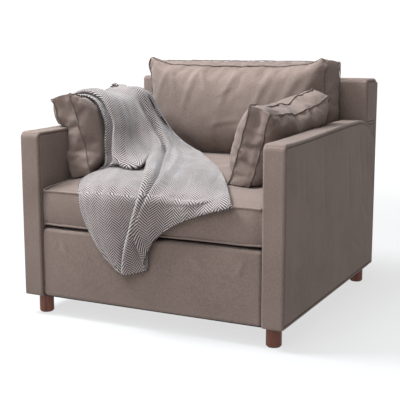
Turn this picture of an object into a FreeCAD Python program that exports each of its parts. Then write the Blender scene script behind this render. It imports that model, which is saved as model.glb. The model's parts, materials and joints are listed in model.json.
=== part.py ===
"""Upholstered armchair: timber frame, padding, covers, loose cushions, toss pillows and a throw.

Frame: +Z up, the chair faces -Y, origin on the floor at the middle of the chair's footprint.
Lengths are millimetres.
"""
import FreeCAD, Part
import os

import Sketcher

Vector = FreeCAD.Vector
Rotation = FreeCAD.Rotation

# ---------------------------------------------------------------- driving dimensions

DIMENSIONS = {
    # whole chair
    "width": 960, "front_reach": 484, "side_rear": 491, "back_reach": 504,
    "underside": 68, "frame_lift": 5,
    # cloth, wadding, boards and foam
    "cloth": 2, "side_pad": 8, "edge_pad": 14, "board": 3,
    # arms
    "arm_width": 72, "arm_height": 637, "arm_front_round": 14, "arm_rear_round": 90,
    "arm_foot_round": 25, "front_post_width": 60, "arm_rail_depth": 46, "side_rail_depth": 80,
    # back box
    "back_front": 350, "back_top": 800, "back_pad_depth": 42, "back_post_rear": 486,
    "back_frame_top": 785, "back_rail_thick": 25, "top_rail_thick": 45, "top_rail_depth": 60,
    "tack_rail_depth": 50, "back_pad_low": 335, "overhang_gap": 3,
    "strap_count": 6, "strap_width": 50, "strap_thick": 2, "strap_pitch": 132,
    # seat deck
    "rail_setback": 10, "rail_top": 308, "rail_round": 12, "rail_thick": 25, "rail_shelf": 74,
    "deck_gap": 3, "deck_low": 300, "deck_top": 331, "panel_low": 310,
    "spring_count": 6, "spring_pitch": 128, "wire": 3.8, "wire_height": 294,
    "spring_swing": 24, "spring_step": 38, "spring_bends": 21,
    "clip_width": 62, "clip_depth": 15, "clip_height": 8, "clip_inset": 6,
    "block_leg": 62, "block_height": 40,
    # feet
    "foot_diameter": 50, "foot_x": 430, "foot_front_y": 427, "foot_rear_y": 456,
    "foot_edge": 2, "glide_diameter": 42, "glide_height": 3, "plate_side": 54, "plate_thick": 3,
    "bolt_diameter": 8, "bolt_low": 38, "bolt_high": 95, "bolt_clearance": 1,
    # seat cushion
    "seat_half": 404, "seat_front": 472, "seat_rear": 345, "seat_low": 332,
    "seat_welt": 439, "seat_back_welt": 500, "seat_crown": 34, "seat_round": 16,
    "cushion_cloth": 3, "zip_height": 4, "zip_inset": 60,
    # back cushion
    "rest_half": 380, "rest_low_front": 206, "rest_low_rear": 342, "rest_low": 514,
    "rest_top_front": 216, "rest_top_rear": 325, "rest_top": 876, "rest_belly": 60,
    "rest_round": 14,
    # toss pillows
    "pillow_length": 404, "pillow_height": 296, "pillow_box": 72, "pillow_swell": 48,
    "pillow_flank": 22, "pillow_taper": 62, "rest_gap": 2,
    "pillow_right_x": 199, "pillow_right_y": -274, "pillow_right_z": 470,
    "pillow_right_lean": 20, "pillow_right_turn": -6.8, "pillow_right_rise": 3,
    "pillow_left_x": -306, "pillow_left_y": -330, "pillow_left_z": 474,
    "pillow_left_lean": -16, "pillow_left_turn": 1, "pillow_left_rise": 3,
    # throw
    "throw_thick": 12, "throw_hang": 28, "throw_gap": 3, "throw_from": 100,
    "throw_to": 396, "throw_low": 200, "throw_lip": 16, "throw_left": 244,
    "throw_right": 296, "throw_rear": 138,
}


class Size:
    """A length or count that carries both its value and its spreadsheet expression."""

    def __init__(self, value, text):
        self.value = float(value)
        self.text = text

    def _join(self, other, sign, value):
        return Size(value, "(%s %s %s)" % (self.text, sign, other.text))

    def __add__(self, other):
        other = as_size(other)
        return self._join(other, "+", self.value + other.value)

    def __sub__(self, other):
        other = as_size(other)
        return self._join(other, "-", self.value - other.value)

    def __mul__(self, other):
        other = as_size(other)
        return self._join(other, "*", self.value * other.value)

    def __truediv__(self, other):
        other = as_size(other)
        return self._join(other, "/", self.value / other.value)

    def __neg__(self):
        return Size(-self.value, "(0 - %s)" % self.text)

    def __radd__(self, other):
        return as_size(other) + self

    def __rsub__(self, other):
        return as_size(other) - self

    def __rmul__(self, other):
        return as_size(other) * self


def as_size(thing):
    """Turn a plain number into a Size."""
    if isinstance(thing, Size):
        return thing
    return Size(thing, "(%r)" % float(thing))


class Sheet:
    """The spreadsheet of driving dimensions; an attribute gives one as a Size."""

    def __init__(self, doc, table):
        self.cells = doc.addObject("Spreadsheet::Sheet", "sizes")
        self.table = table
        for row, (name, value) in enumerate(table.items(), start=1):
            self.cells.set("A%d" % row, name)
            self.cells.set("B%d" % row, str(value))
            self.cells.setAlias("B%d" % row, name)

    def __getattr__(self, name):
        if name not in self.table:
            raise AttributeError(name)
        return Size(self.table[name], "sizes." + name)


doc = FreeCAD.newDocument("armchair")
d = Sheet(doc, DIMENSIONS)
doc.recompute()

sub_parts = []

# levels and layers that several pieces share
half = d.width / 2
arm_inner = half - d.arm_width
layer_pad = d.cloth
layer_board = d.cloth + d.side_pad
layer_frame = d.cloth + d.side_pad + d.board
frame_inner = arm_inner + layer_frame
frame_outer = half - layer_frame
edge_inset = d.cloth + d.edge_pad
frame_low = d.underside + d.frame_lift
pad_low = d.underside + d.cloth
arm_frame_top = d.arm_height - edge_inset
back_post_front = d.back_front + d.cloth + d.back_pad_depth + d.strap_thick
rail_front = d.front_reach - d.rail_setback
rail_wood_front = rail_front - d.cloth - d.side_pad
deck_half = arm_inner - d.deck_gap
rail_wood_top = d.wire_height - 4
overhang_low = d.arm_height + d.overhang_gap


# ---------------------------------------------------------------- building helpers

def bind(obj, prop, size):
    """Set a property from a Size and tie it to the sheet."""
    obj.setExpression(prop, as_size(size).text)


def keep(obj, label):
    """Name an object as a finished sub-part."""
    obj.Label = label
    sub_parts.append(obj)
    return obj


def origin_plane(body, role):
    """Return one of a body's own origin planes."""
    return next(plane for plane in body.Origin.OriginFeatures if plane.Role == role)


def block(name, x, y, z):
    """Make a box from its low and high sizes along each axis."""
    box = doc.addObject("Part::Box", name)
    for prop, (low, high) in (("Length", x), ("Width", y), ("Height", z)):
        bind(box, prop, as_size(high) - as_size(low))
    for axis, (low, _) in (("x", x), ("y", y), ("z", z)):
        bind(box, "Placement.Base." + axis, low)
    return box


def rod(name, radius, x, y, z):
    """Make an upright cylinder between two heights."""
    cylinder = doc.addObject("Part::Cylinder", name)
    bind(cylinder, "Radius", radius)
    bind(cylinder, "Height", as_size(z[1]) - as_size(z[0]))
    bind(cylinder, "Placement.Base.x", x)
    bind(cylinder, "Placement.Base.y", y)
    bind(cylinder, "Placement.Base.z", z[0])
    return cylinder


def cut(name, base, *tools):
    """Take the tools away from the base, one after another."""
    for index, tool in enumerate(tools):
        result = doc.addObject("Part::Cut", "%s_%d" % (name, index))
        result.Base = base
        result.Tool = tool
        base = result
    return base


def fuse(name, *pieces):
    """Join touching pieces into one solid."""
    result = doc.addObject("Part::MultiFuse", name)
    result.Shapes = list(pieces)
    result.Refine = True
    return result


def group(name, *pieces):
    """Collect identical separate solids in one shape."""
    result = doc.addObject("Part::Compound", name)
    result.Links = list(pieces)
    return result


def common(name, first, second):
    """Keep what two pieces share."""
    result = doc.addObject("Part::MultiCommon", name)
    result.Shapes = [first, second]
    return result


def chord_radius(start, end, rise):
    """Radius of the arc that rises a given height above its chord."""
    across = end[0] - start[0]
    along = end[1] - start[1]
    return ((across * across + along * along) / 4 + rise * rise) / (2 * rise)


def draw_outline(sketch, corners, rises):
    """Draw a closed outline with every corner tied to the sheet.

    rises maps a corner's index to the height of the arc that leaves it, to the right of
    the way to the next corner.
    """
    count = len(corners)
    points = [(as_size(u), as_size(v)) for u, v in corners]
    ends = []
    for index in range(count):
        start, end = points[index], points[(index + 1) % count]
        first = Vector(start[0].value, start[1].value, 0)
        last = Vector(end[0].value, end[1].value, 0)
        if index in rises:
            chord = last - first
            rise = as_size(rises[index]).value
            aside = Vector(chord.y, -chord.x, 0).normalize() * rise
            middle = (first + last) * 0.5 + aside
            if rise > 0:
                sketch.addGeometry(Part.Arc(first, middle, last))
                ends.append((1, 2))
            else:
                sketch.addGeometry(Part.Arc(last, middle, first))
                ends.append((2, 1))
        else:
            sketch.addGeometry(Part.LineSegment(first, last))
            ends.append((1, 2))
    for index in range(count):
        after = (index + 1) % count
        sketch.addConstraint(Sketcher.Constraint(
            "Coincident", index, ends[index][1], after, ends[after][0]))
    for index, (u, v) in enumerate(points):
        for kind, size in (("DistanceX", u), ("DistanceY", v)):
            where = sketch.addConstraint(Sketcher.Constraint(
                kind, -1, 1, index, ends[index][0], size.value))
            sketch.setExpression("Constraints[%d]" % where, size.text)
    for index, rise in rises.items():
        height = rise if rise.value > 0 else -rise
        radius = chord_radius(points[index], points[(index + 1) % count], height)
        where = sketch.addConstraint(Sketcher.Constraint("Radius", index, radius.value))
        sketch.setExpression("Constraints[%d]" % where, radius.text)


def prism(name, role, low, high, corners, rises=None):
    """Make a body that is an outline drawn on an origin plane and padded between two levels.

    On YZ_Plane an outline's points are (y, z) and the levels are along X; on XY_Plane they
    are (x, y) and Z; on XZ_Plane they are (x, z) and Y.
    """
    body = doc.addObject("PartDesign::Body", name)
    sketch = body.newObject("Sketcher::SketchObject", name + "_outline")
    sketch.AttachmentSupport = [(origin_plane(body, role), "")]
    sketch.MapMode = "FlatFace"
    lift = -as_size(high) if role == "XZ_Plane" else as_size(low)
    sketch.setExpression("AttachmentOffset.Base.z", lift.text)
    draw_outline(sketch, corners, rises or {})
    pad = body.newObject("PartDesign::Pad", name + "_pad")
    pad.Profile = sketch
    bind(pad, "Length", as_size(high) - as_size(low))
    body.Tip = pad
    return body


def rectangle(u_low, u_high, v_low, v_high):
    """The four corners of an upright rectangle."""
    return [(u_low, v_low), (u_high, v_low), (u_high, v_high), (u_low, v_high)]


def round_edges(body, name, radius, wanted):
    """Fillet the edges of a body that a test picks, with a radius tied to the sheet."""
    doc.recompute()
    base = body.Tip
    names = ["Edge%d" % (index + 1) for index, edge in enumerate(base.Shape.Edges)
             if wanted(edge)]
    fillet = body.newObject("PartDesign::Fillet", name)
    fillet.Base = (base, names)
    bind(fillet, "Radius", radius)
    body.Tip = fillet
    return body


def edge_through(axis, **where):
    """Test for straight edges along an axis that pass given coordinates."""
    def test(edge):
        ends = [vertex.Point for vertex in edge.Vertexes]
        if len(ends) != 2:
            return False
        if abs(abs((ends[1] - ends[0]).normalize()[axis]) - 1) > 1e-6:
            return False
        middle = (ends[0] + ends[1]) * 0.5
        return all(abs(getattr(middle, name) - value) < 0.01 for name, value in where.items())
    return test


def mirrored(side, low, high):
    """Levels along X on the right side, or their mirror image on the left."""
    if side == "right":
        return as_size(low), as_size(high)
    return -as_size(high), -as_size(low)


# ---------------------------------------------------------------- timber frame

def make_arm_timber(side):
    """Front post, arm rail, side rail and back post of one side, bored for the foot bolts."""
    x = mirrored(side, frame_inner, frame_outer)
    sign = 1 if side == "right" else -1
    front = -(d.front_reach - edge_inset)
    rail_low = arm_frame_top - d.arm_rail_depth
    bore = d.bolt_diameter / 2 + d.bolt_clearance
    posts = (("arm_front_post_" + side, (front, front + d.front_post_width),
              rail_low, -d.foot_front_y),
             ("back_post_" + side, (back_post_front, d.back_post_rear),
              d.back_frame_top, d.foot_rear_y))
    for label, y, top, bolt_y in posts:
        post = block(label + "_blank", x, y, (frame_low, top))
        hole = rod(label + "_bore", bore, sign * d.foot_x, bolt_y,
                   (frame_low - 1, d.bolt_high + 2))
        keep(cut(label, post, hole), label)
    keep(block("arm_top_rail_" + side, x, (front, back_post_front), (rail_low, arm_frame_top)),
         "arm_top_rail_" + side)
    keep(block("side_rail_" + side, x, (front + d.front_post_width, back_post_front),
               (frame_low, frame_low + d.side_rail_depth)), "side_rail_" + side)


def make_cross_rails():
    """Rails that join the two sides, with a glue block in each lower corner."""
    x = (-frame_inner, frame_inner)
    front = (-rail_wood_front, -rail_wood_front + d.rail_thick)
    rear = (back_post_front, back_post_front + d.back_rail_thick)
    keep(block("front_rail", x, front, (frame_low, rail_wood_top)), "front_rail")
    keep(block("back_rail", x, rear, (frame_low, rail_wood_top)), "back_rail")
    keep(block("back_tack_rail", x, rear, (d.back_pad_low, d.back_pad_low + d.tack_rail_depth)),
         "back_tack_rail")
    keep(block("back_top_rail", x, (back_post_front, back_post_front + d.top_rail_thick),
               (d.back_frame_top - d.top_rail_depth, d.back_frame_top)), "back_top_rail")
    blocks = []
    for name, x_sign in (("left", -1), ("right", 1)):
        for end, y, y_sign in (("front", front[1], 1), ("rear", rear[0], -1)):
            corner = x_sign * frame_inner
            points = [(corner, y), (corner - x_sign * d.block_leg, y),
                      (corner, y + y_sign * d.block_leg)]
            if x_sign * y_sign > 0:
                points.reverse()
            blocks.append(prism("glue_block_%s_%s" % (end, name), "XY_Plane", frame_low,
                                frame_low + d.block_height, points))
    keep(group("corner_blocks", *blocks), "corner_blocks")


# ---------------------------------------------------------------- arm upholstery

def arm_outline(name, x, inset):
    """A slab with the arm's side outline, drawn in from it by an inset."""
    body = prism(name, "YZ_Plane", x[0], x[1], rectangle(
        -d.front_reach + inset, d.side_rear - inset, d.underside + inset, d.arm_height - inset))
    corners = (("crest", d.arm_rear_round - inset, d.side_rear - inset, d.arm_height - inset),
               ("heel", d.arm_foot_round - inset, d.side_rear - inset, d.underside + inset),
               ("nose", d.arm_front_round - inset, -d.front_reach + inset,
                d.arm_height - inset))
    for label, radius, y, z in corners:
        if radius.value > 1:
            round_edges(body, "%s_%s" % (name, label), radius,
                        edge_through(0, y=y.value, z=z.value))
    return body


def make_arm_layers(side):
    """Board, wadding and cover on both faces of an arm; the inner ones stop at the deck."""
    none = as_size(0)
    layers = (("board", layer_board, layer_frame, edge_inset),
              ("pad", layer_pad, layer_board, d.cloth),
              ("cover", none, layer_pad, none))
    for layer, near, far, inset in layers:
        outer = "arm_outer_%s_%s" % (layer, side)
        keep(arm_outline(outer, mirrored(side, half - far, half - near), inset), outer)
        inner = "arm_inner_%s_%s" % (layer, side)
        x = mirrored(side, arm_inner + near, arm_inner + far)
        panel = arm_outline(inner + "_blank", x, inset)
        below = block(inner + "_notch", (x[0] - 1, x[1] + 1),
                      (-rail_front + 1, d.side_rear + 9), (0, d.panel_low))
        behind = block(inner + "_end", (x[0] - 1, x[1] + 1),
                       (back_post_front, d.side_rear + 9), (0, d.arm_height + 9))
        keep(cut(inner, panel, below, behind), inner)


def arm_strip(name, side, near, outer_inset, inner_inset):
    """A strip round the front and top edge of an arm, between two insets of its outline."""
    x = mirrored(side, arm_inner + near, half - near)
    solid = arm_outline(name + "_solid", x, outer_inset)
    core = arm_outline(name + "_core", (x[0] - 1, x[1] + 1), inner_inset)
    rear = block(name + "_rear", (x[0] - 1, x[1] + 1), (back_post_front, d.side_rear + 9),
                 (0, d.arm_height + 9))
    floor_strip = block(name + "_floor", (x[0] - 1, x[1] + 1),
                        (-d.front_reach + inner_inset, d.side_rear + 9),
                        (0, d.underside + inner_inset))
    return cut(name, solid, core, rear, floor_strip)


def make_arm_edges(side):
    """The foam that rounds an arm's edge and the boxing band that covers it."""
    keep(arm_strip("arm_edge_pad_" + side, side, layer_board, d.cloth, edge_inset),
         "arm_edge_pad_" + side)
    keep(arm_strip("arm_band_cover_" + side, side, layer_pad, as_size(0), d.cloth),
         "arm_band_cover_" + side)


# ---------------------------------------------------------------- back box

def back_front_outline(grow):
    """The front of the back box: wide above the arms, narrow between them."""
    wide = half - d.cloth + grow
    top = d.back_top - d.cloth + grow
    return [(-deck_half, d.back_pad_low), (deck_half, d.back_pad_low),
            (deck_half, overhang_low), (wide, overhang_low), (wide, top), (-wide, top),
            (-wide, overhang_low), (-deck_half, overhang_low)]


def back_rim(name, outer, thick, y):
    """An arch over the top and down both ends of the back box, fitted round the arms."""
    top = d.back_top - outer
    wide = half - outer
    low = d.arm_height - d.arm_rear_round
    arch = prism(name + "_arch", "XZ_Plane", y[0], y[1], [
        (-wide, low), (-wide + thick, low), (-wide + thick, top - thick),
        (wide - thick, top - thick), (wide - thick, low), (wide, low), (wide, top),
        (-wide, top)])
    tools = []
    for side in ("left", "right"):
        x = mirrored(side, arm_inner - 1, half + 1)
        tools.append(arm_outline("%s_arm_%s" % (name, side), x, as_size(-1)))
    return cut(name, arch, *tools)


def make_back_box():
    """Webbing, foam, board and covers of the back."""
    pad_y = (d.back_front + d.cloth, d.back_front + d.cloth + d.back_pad_depth)
    straps = []
    for index in range(int(d.strap_count.value)):
        middle = (index - (d.strap_count - 1) / 2) * d.strap_pitch
        straps.append(block("strap_%d" % index,
                            (middle - d.strap_width / 2, middle + d.strap_width / 2),
                            (pad_y[1], back_post_front), (d.back_pad_low, d.back_frame_top)))
    keep(group("back_webbing", *straps), "back_webbing")
    keep(prism("back_pad", "XZ_Plane", pad_y[0], pad_y[1], back_front_outline(as_size(0))),
         "back_pad")
    keep(prism("back_front_cover", "XZ_Plane", d.back_front, pad_y[0],
               back_front_outline(d.cloth)), "back_front_cover")
    rim_rear = d.side_rear
    keep(back_rim("back_rim_pad", d.cloth, layer_frame - d.cloth, (pad_y[1], rim_rear)),
         "back_rim_pad")
    keep(back_rim("back_rim_cover", as_size(0), d.cloth, (pad_y[0], rim_rear)),
         "back_rim_cover")
    keep(block("back_board", (-frame_outer, frame_outer), (d.back_post_rear, rim_rear),
               (frame_low, d.back_frame_top)), "back_board")
    inside = ((-half + d.cloth, half - d.cloth), (rim_rear, d.back_reach - d.cloth),
              (pad_low, d.back_top - d.cloth))
    keep(block("outside_back_pad", *inside), "outside_back_pad")
    shell = block("outside_back_shell", (-half, half), (rim_rear, d.back_reach),
                  (d.underside, d.back_top))
    room = block("outside_back_room", (inside[0][0], inside[0][1]),
                 (rim_rear - 1, inside[1][1]), (inside[2][0], inside[2][1]))
    keep(cut("outside_back_cover", shell, room), "outside_back_cover")


# ---------------------------------------------------------------- seat deck

def make_front_rail_upholstery():
    """Wadding and cover of the front rail, turned back over its top."""
    x = (-deck_half - 1, deck_half + 1)
    shelf = -rail_front + d.rail_shelf
    face = -rail_front + d.cloth
    pad_top = d.rail_top - d.cloth
    side = prism("front_rail_pad", "YZ_Plane", x[0], x[1], [
        (face, pad_low), (-rail_wood_front, pad_low), (-rail_wood_front, pad_top - 7),
        (shelf, pad_top - 7), (shelf, pad_top), (face, pad_top)])
    round_edges(side, "front_rail_pad_nose", d.rail_round - d.cloth,
                edge_through(0, y=face.value, z=pad_top.value))
    keep(side, "front_rail_pad")
    cover = prism("front_rail_cover_blank", "YZ_Plane", x[0], x[1], rectangle(
        -rail_front, shelf, d.underside, d.rail_top))
    round_edges(cover, "front_rail_cover_nose", d.rail_round,
                edge_through(0, y=-rail_front.value, z=d.rail_top.value))
    room = prism("front_rail_room", "YZ_Plane", x[0] - 1, x[1] + 1, rectangle(
        face, shelf + 1, d.underside - 1, pad_top))
    round_edges(room, "front_rail_room_nose", d.rail_round - d.cloth,
                edge_through(0, y=face.value, z=pad_top.value))
    keep(cut("front_rail_cover_cut", cover, room), "front_rail_cover")


def spring_wire(x_middle, y_start):
    """The path of one sinuous spring: half turns joined by short cross runs."""
    swing = d.spring_swing.value
    step = d.spring_step.value
    height = d.wire_height.value
    turn = step / 2
    edges = []
    here = Vector(x_middle, y_start, height)
    there = Vector(x_middle, y_start + turn, height)
    edges.append(Part.LineSegment(here, there).toShape())
    side = 1
    here = there
    for _ in range(int(d.spring_bends.value)):
        out = Vector(x_middle + side * swing, here.y, height)
        tip = Vector(x_middle + side * (swing + turn), here.y + turn, height)
        back = Vector(x_middle + side * swing, here.y + step, height)
        home = Vector(x_middle, here.y + step, height)
        edges.append(Part.LineSegment(here, out).toShape())
        edges.append(Part.Arc(out, tip, back).toShape())
        edges.append(Part.LineSegment(back, home).toShape())
        here = home
        side = -side
    edges.append(Part.LineSegment(here, here + Vector(0, turn, 0)).toShape())
    return Part.Wire(edges)


def make_suspension():
    """Sinuous springs from the front rail to the back rail, held in clips."""
    y_front = -rail_wood_front + d.clip_inset + d.clip_depth
    y_rear = back_post_front + d.clip_inset
    run = (d.spring_bends + 1) * d.spring_step
    slack = (y_rear - y_front - run) / 2
    springs = []
    clips = []
    for index in range(int(d.spring_count.value)):
        middle = (index - (d.spring_count - 1) / 2) * d.spring_pitch
        path = spring_wire(middle.value, y_front.value + slack.value)
        start = path.Vertexes[0].Point
        profile = Part.Wire([Part.Circle(start, Vector(0, 1, 0), d.wire.value / 2).toShape()])
        body = path.makePipeShell([profile], True, False, 2)
        ends = [Part.makeCylinder(d.wire.value / 2, slack.value, point, Vector(0, way, 0))
                for point, way in ((start, -1), (path.Vertexes[-1].Point, 1))]
        springs.append(body.fuse(ends).removeSplitter())
        for end, y in (("front", (y_front - d.clip_depth, y_front)),
                       ("rear", (y_rear, y_rear + d.clip_depth))):
            clips.append(block("clip_%s_%d" % (end, index),
                               (middle - d.clip_width / 2, middle + d.clip_width / 2), y,
                               (rail_wood_top, rail_wood_top + d.clip_height)))
    wires = doc.addObject("Part::Feature", "seat_springs")
    wires.Shape = Part.makeCompound(springs)
    keep(wires, "seat_springs")
    keep(group("spring_clips", *clips), "spring_clips")


def make_deck():
    """The pad that the seat cushion rests on and the dust cover below."""
    keep(block("deck_pad", (-deck_half, deck_half), (-rail_front + d.rail_shelf + 2,
                                                     d.back_front - 1),
               (d.deck_low, d.deck_top)), "deck_pad")
    level = (d.underside, d.underside + d.cloth)
    front = -rail_front + d.cloth + 2
    dust = fuse("dust_blank",
                block("dust_wide", (-half + d.cloth + 1, half - d.cloth - 1),
                      (front, d.side_rear - d.arm_foot_round - 2), level),
                block("dust_narrow", (-deck_half, deck_half), (front, d.side_rear - 1), level))
    holes = [rod("dust_hole_%s_%s" % (end, side), d.bolt_diameter / 2 + d.bolt_clearance,
                 sign * d.foot_x, y, (d.underside - 1, d.underside + d.cloth + 1))
             for side, sign in (("left", -1), ("right", 1))
             for end, y in (("front", -d.foot_front_y), ("rear", d.foot_rear_y))]
    keep(cut("dust_cover", dust, *holes), "dust_cover")


# ---------------------------------------------------------------- feet

def make_foot(end, side, x, y):
    """A turned timber foot with eased edges and a blind bore for its bolt."""
    name = "foot_%s_%s" % (end, side)
    radius = d.foot_diameter / 2
    top = d.underside
    blank = rod(name + "_blank", radius, x, y, (d.glide_height, top))
    doc.recompute()
    eased = doc.addObject("Part::Fillet", name + "_eased")
    eased.Base = blank
    rims = [index + 1 for index, edge in enumerate(blank.Shape.Edges) if edge.isClosed()]
    eased.Edges = [(index, d.foot_edge.value, d.foot_edge.value) for index in rims]
    bore = rod(name + "_bore", d.bolt_diameter / 2, x, y, (d.bolt_low, top + 1))
    keep(cut(name, eased, bore), name)


def make_feet():
    """Four feet, each with a glide, a mounting plate and a hanger bolt."""
    plates = []
    bolts = []
    glides = []
    plate_low = d.underside + d.cloth
    for side, sign in (("left", -1), ("right", 1)):
        for end, y in (("front", -d.foot_front_y), ("rear", d.foot_rear_y)):
            x = sign * d.foot_x
            make_foot(end, side, x, y)
            tag = "%s_%s" % (end, side)
            reach = d.plate_side / 2
            plate = block("plate_blank_" + tag, (x - reach, x + reach), (y - reach, y + reach),
                          (plate_low, plate_low + d.plate_thick))
            hole = rod("plate_hole_" + tag, d.bolt_diameter / 2, x, y,
                       (plate_low - 1, plate_low + d.plate_thick + 1))
            plates.append(cut("plate_" + tag, plate, hole))
            bolts.append(rod("bolt_" + tag, d.bolt_diameter / 2, x, y,
                             (d.bolt_low, d.bolt_high)))
            glides.append(rod("glide_" + tag, d.glide_diameter / 2, x, y, (0, d.glide_height)))
    keep(group("foot_plates", *plates), "foot_plates")
    keep(group("foot_bolts", *bolts), "foot_bolts")
    keep(group("foot_glides", *glides), "foot_glides")


# ---------------------------------------------------------------- loose cushions

def seat_outline(inset, lift=as_size(0)):
    """Side outline of the seat cushion, crowned on top; lift raises it for clearance."""
    return [(-d.seat_front + inset, d.seat_low + inset), (d.seat_rear - inset,
                                                          d.seat_low + inset),
            (d.seat_rear - inset, d.seat_back_welt - inset + lift),
            (-d.seat_front + inset, d.seat_welt - inset + lift)]


def seat_solid(name, inset):
    """The seat cushion's shape, drawn in by an inset."""
    body = prism(name, "YZ_Plane", -d.seat_half + inset, d.seat_half - inset,
                 seat_outline(inset), {2: d.seat_crown})
    front = -d.seat_front.value + inset.value
    return round_edges(body, name + "_nose", d.seat_round - inset,
                       edge_through(0, y=front, z=(d.seat_low + inset).value))


def seat_room(name, gap):
    """The space that the seat cushion needs, for cutting what rests on it."""
    return prism(name, "YZ_Plane", -d.seat_half - gap, d.seat_half + gap, [
        (-d.seat_front - gap, d.seat_low), (d.seat_rear + gap, d.seat_low),
        (d.seat_rear + gap, d.seat_back_welt + gap), (-d.seat_front - gap, d.seat_welt + gap)],
        {2: d.seat_crown})


def rest_solid(name, inset):
    """The back cushion's shape, with a belly in front and a flatter back."""
    body = prism(name, "YZ_Plane", -d.rest_half + inset, d.rest_half - inset, [
        (d.rest_low_front + inset, d.rest_low + inset),
        (d.rest_low_rear - inset, d.rest_low + inset),
        (d.rest_top_rear - inset, d.rest_top - inset),
        (d.rest_top_front + inset, d.rest_top - inset)], {3: d.rest_belly})
    return round_edges(body, name + "_top", d.rest_round - inset, edge_through(
        0, y=(d.rest_top_rear - inset).value, z=(d.rest_top - inset).value))


def make_cushion(name, fill, solid, rear, half_width, low):
    """A filled insert and a cover with a zip opening along its back."""
    keep(solid(name + "_" + fill, d.cushion_cloth), name + "_" + fill)
    outside = solid(name + "_outside", as_size(0))
    inside = solid(name + "_inside", d.cushion_cloth)
    slot = block(name + "_zip", (-half_width + d.zip_inset, half_width - d.zip_inset),
                 (rear - d.cushion_cloth * 6, rear + 9), (low, low + d.zip_height))
    keep(cut(name + "_cover", outside, inside, slot), name + "_cover")


# ---------------------------------------------------------------- toss pillows

def pillow_place(side):
    """Placement of a pillow: its length runs back, its height leans on the arm."""
    sheet = d.table
    tag = "pillow_%s_" % side
    turn = Rotation(Vector(0, 0, 1), sheet[tag + "turn"])
    rise = Rotation(Vector(1, 0, 0), sheet[tag + "rise"])
    lean = Rotation(Vector(0, 1, 0), sheet[tag + "lean"])
    base = Vector(sheet[tag + "x"], sheet[tag + "y"], sheet[tag + "z"])
    return FreeCAD.Placement(base, turn * rise * lean)


def pillow_section(near, inset):
    """The pillow's section in its own frame, starting at its lower seam on the seat side.

    near is the sign of the pillow's thickness from that seam: the boxing runs that way, and
    the face towards the arm swells less than the one towards the seat.
    """
    box = near * d.pillow_box
    swell = near * d.pillow_swell
    flank = near * d.pillow_flank
    high = d.pillow_height
    inner = near * inset
    points = [(inner, inset), (box - inner, inset),
              (box + flank - inner, d.pillow_taper), (box + flank - inner,
                                                      high - d.pillow_taper),
              (box - inner, high - inset), (inner, high - inset),
              (-swell + inner, high - d.pillow_taper), (-swell + inner, d.pillow_taper)]
    if near < 0:
        points.reverse()
    return points


def tidy_turn(points):
    """Put a triangle's corners in anticlockwise order."""
    (ax, ay), (bx, by), (cx, cy) = [(as_size(u).value, as_size(v).value) for u, v in points]
    turn = (bx - ax) * (cy - ay) - (by - ay) * (cx - ax)
    return points if turn > 0 else points[::-1]


def pillow_body(name, side, inset):
    """The pillow's swollen shape at its place, its faces tapering towards both ends."""
    near = 1 if side == "right" else -1
    body = prism(name, "XZ_Plane", inset, d.pillow_length - inset, pillow_section(near, inset))
    body.Placement = pillow_place(side)
    wedges = []
    for end, y, way in (("front", as_size(0), 1), ("rear", d.pillow_length, -1)):
        for flank, x, out, swell in (
                ("far", near * (d.pillow_box - inset), near, d.pillow_flank),
                ("near", near * inset, -near, d.pillow_swell)):
            tip = x + out * (swell + 9)
            wedge = prism("%s_%s_%s" % (name, end, flank), "XY_Plane", -60,
                          d.pillow_height + 60, tidy_turn([
                              (x, y - way), (tip, y - way),
                              (tip, y + way * (d.pillow_taper + 12))]))
            wedge.Placement = pillow_place(side)
            wedges.append(wedge)
    return cut(name + "_tapered", body, *wedges)


def pillow_solid(name, side, inset):
    """The pillow's shape, flattened where it rests on the seat cushion and against the arm."""
    gap = d.rest_gap + inset
    arm = block(name + "_arm_room", mirrored(side, arm_inner - gap, half + 60),
                (-d.front_reach, d.side_rear), (0, d.arm_height + gap))
    return cut(name + "_rested", pillow_body(name, side, inset),
               seat_room(name + "_seat_room", gap), arm)


def make_pillow(side):
    """A boxed toss pillow: the feather insert and the cover round it."""
    name = "pillow_" + side
    keep(pillow_solid(name + "_fill", side, d.cushion_cloth), name + "_insert")
    outside = pillow_solid(name + "_outside", side, as_size(0))
    inside = pillow_solid(name + "_inside", side, d.cushion_cloth)
    keep(cut(name + "_cover", outside, inside), name + "_cover")


# ---------------------------------------------------------------- throw

def throw_over_pillow():
    """The stretch that climbs the left pillow's face and turns over its top edge."""
    gap = d.throw_gap
    thick = d.throw_thick
    face = d.pillow_swell + gap
    top = d.pillow_height + gap
    bend_low = d.pillow_taper - gap
    bend_high = d.pillow_height - d.pillow_taper + gap
    over = -d.pillow_box * 0.7
    outline = [(over, top), (gap, top), (face, bend_high), (face, bend_low), (face, 0),
               (face + thick, 0), (face + thick, bend_high), (gap + thick / 2, top + thick),
               (over, top + thick)]
    body = prism("throw_climb", "XZ_Plane", d.throw_from, d.throw_to, outline)
    body.Placement = pillow_place("left")
    return cut("throw_climb_rested", body, seat_room("throw_climb_room", gap))


def throw_on_seat():
    """The stretch that lies on the crowned seat cushion, narrow behind and wide in front."""
    gap = d.throw_gap
    thick = d.throw_thick
    front = -d.seat_front - gap
    lip = front - d.throw_lip
    side = prism("throw_lying_side", "YZ_Plane", -half, half, [
        (lip, d.seat_welt + gap), (front, d.seat_welt + gap),
        (d.seat_rear, d.seat_back_welt + gap), (d.seat_rear, d.seat_back_welt + gap + thick),
        (front, d.seat_welt + gap + thick), (lip, d.seat_welt + gap + thick)],
        {1: -d.seat_crown, 3: d.seat_crown})
    plan = prism("throw_lying_plan", "XY_Plane", d.seat_welt - 9, d.rest_low + 60, [
        (-d.throw_left, lip), (d.throw_right, lip), (d.throw_right - 6, -400), (150, -300),
        (20, -70), (-140, d.throw_rear), (-268, 70), (-268, -330)])
    return common("throw_lying", side, plan)


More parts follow.
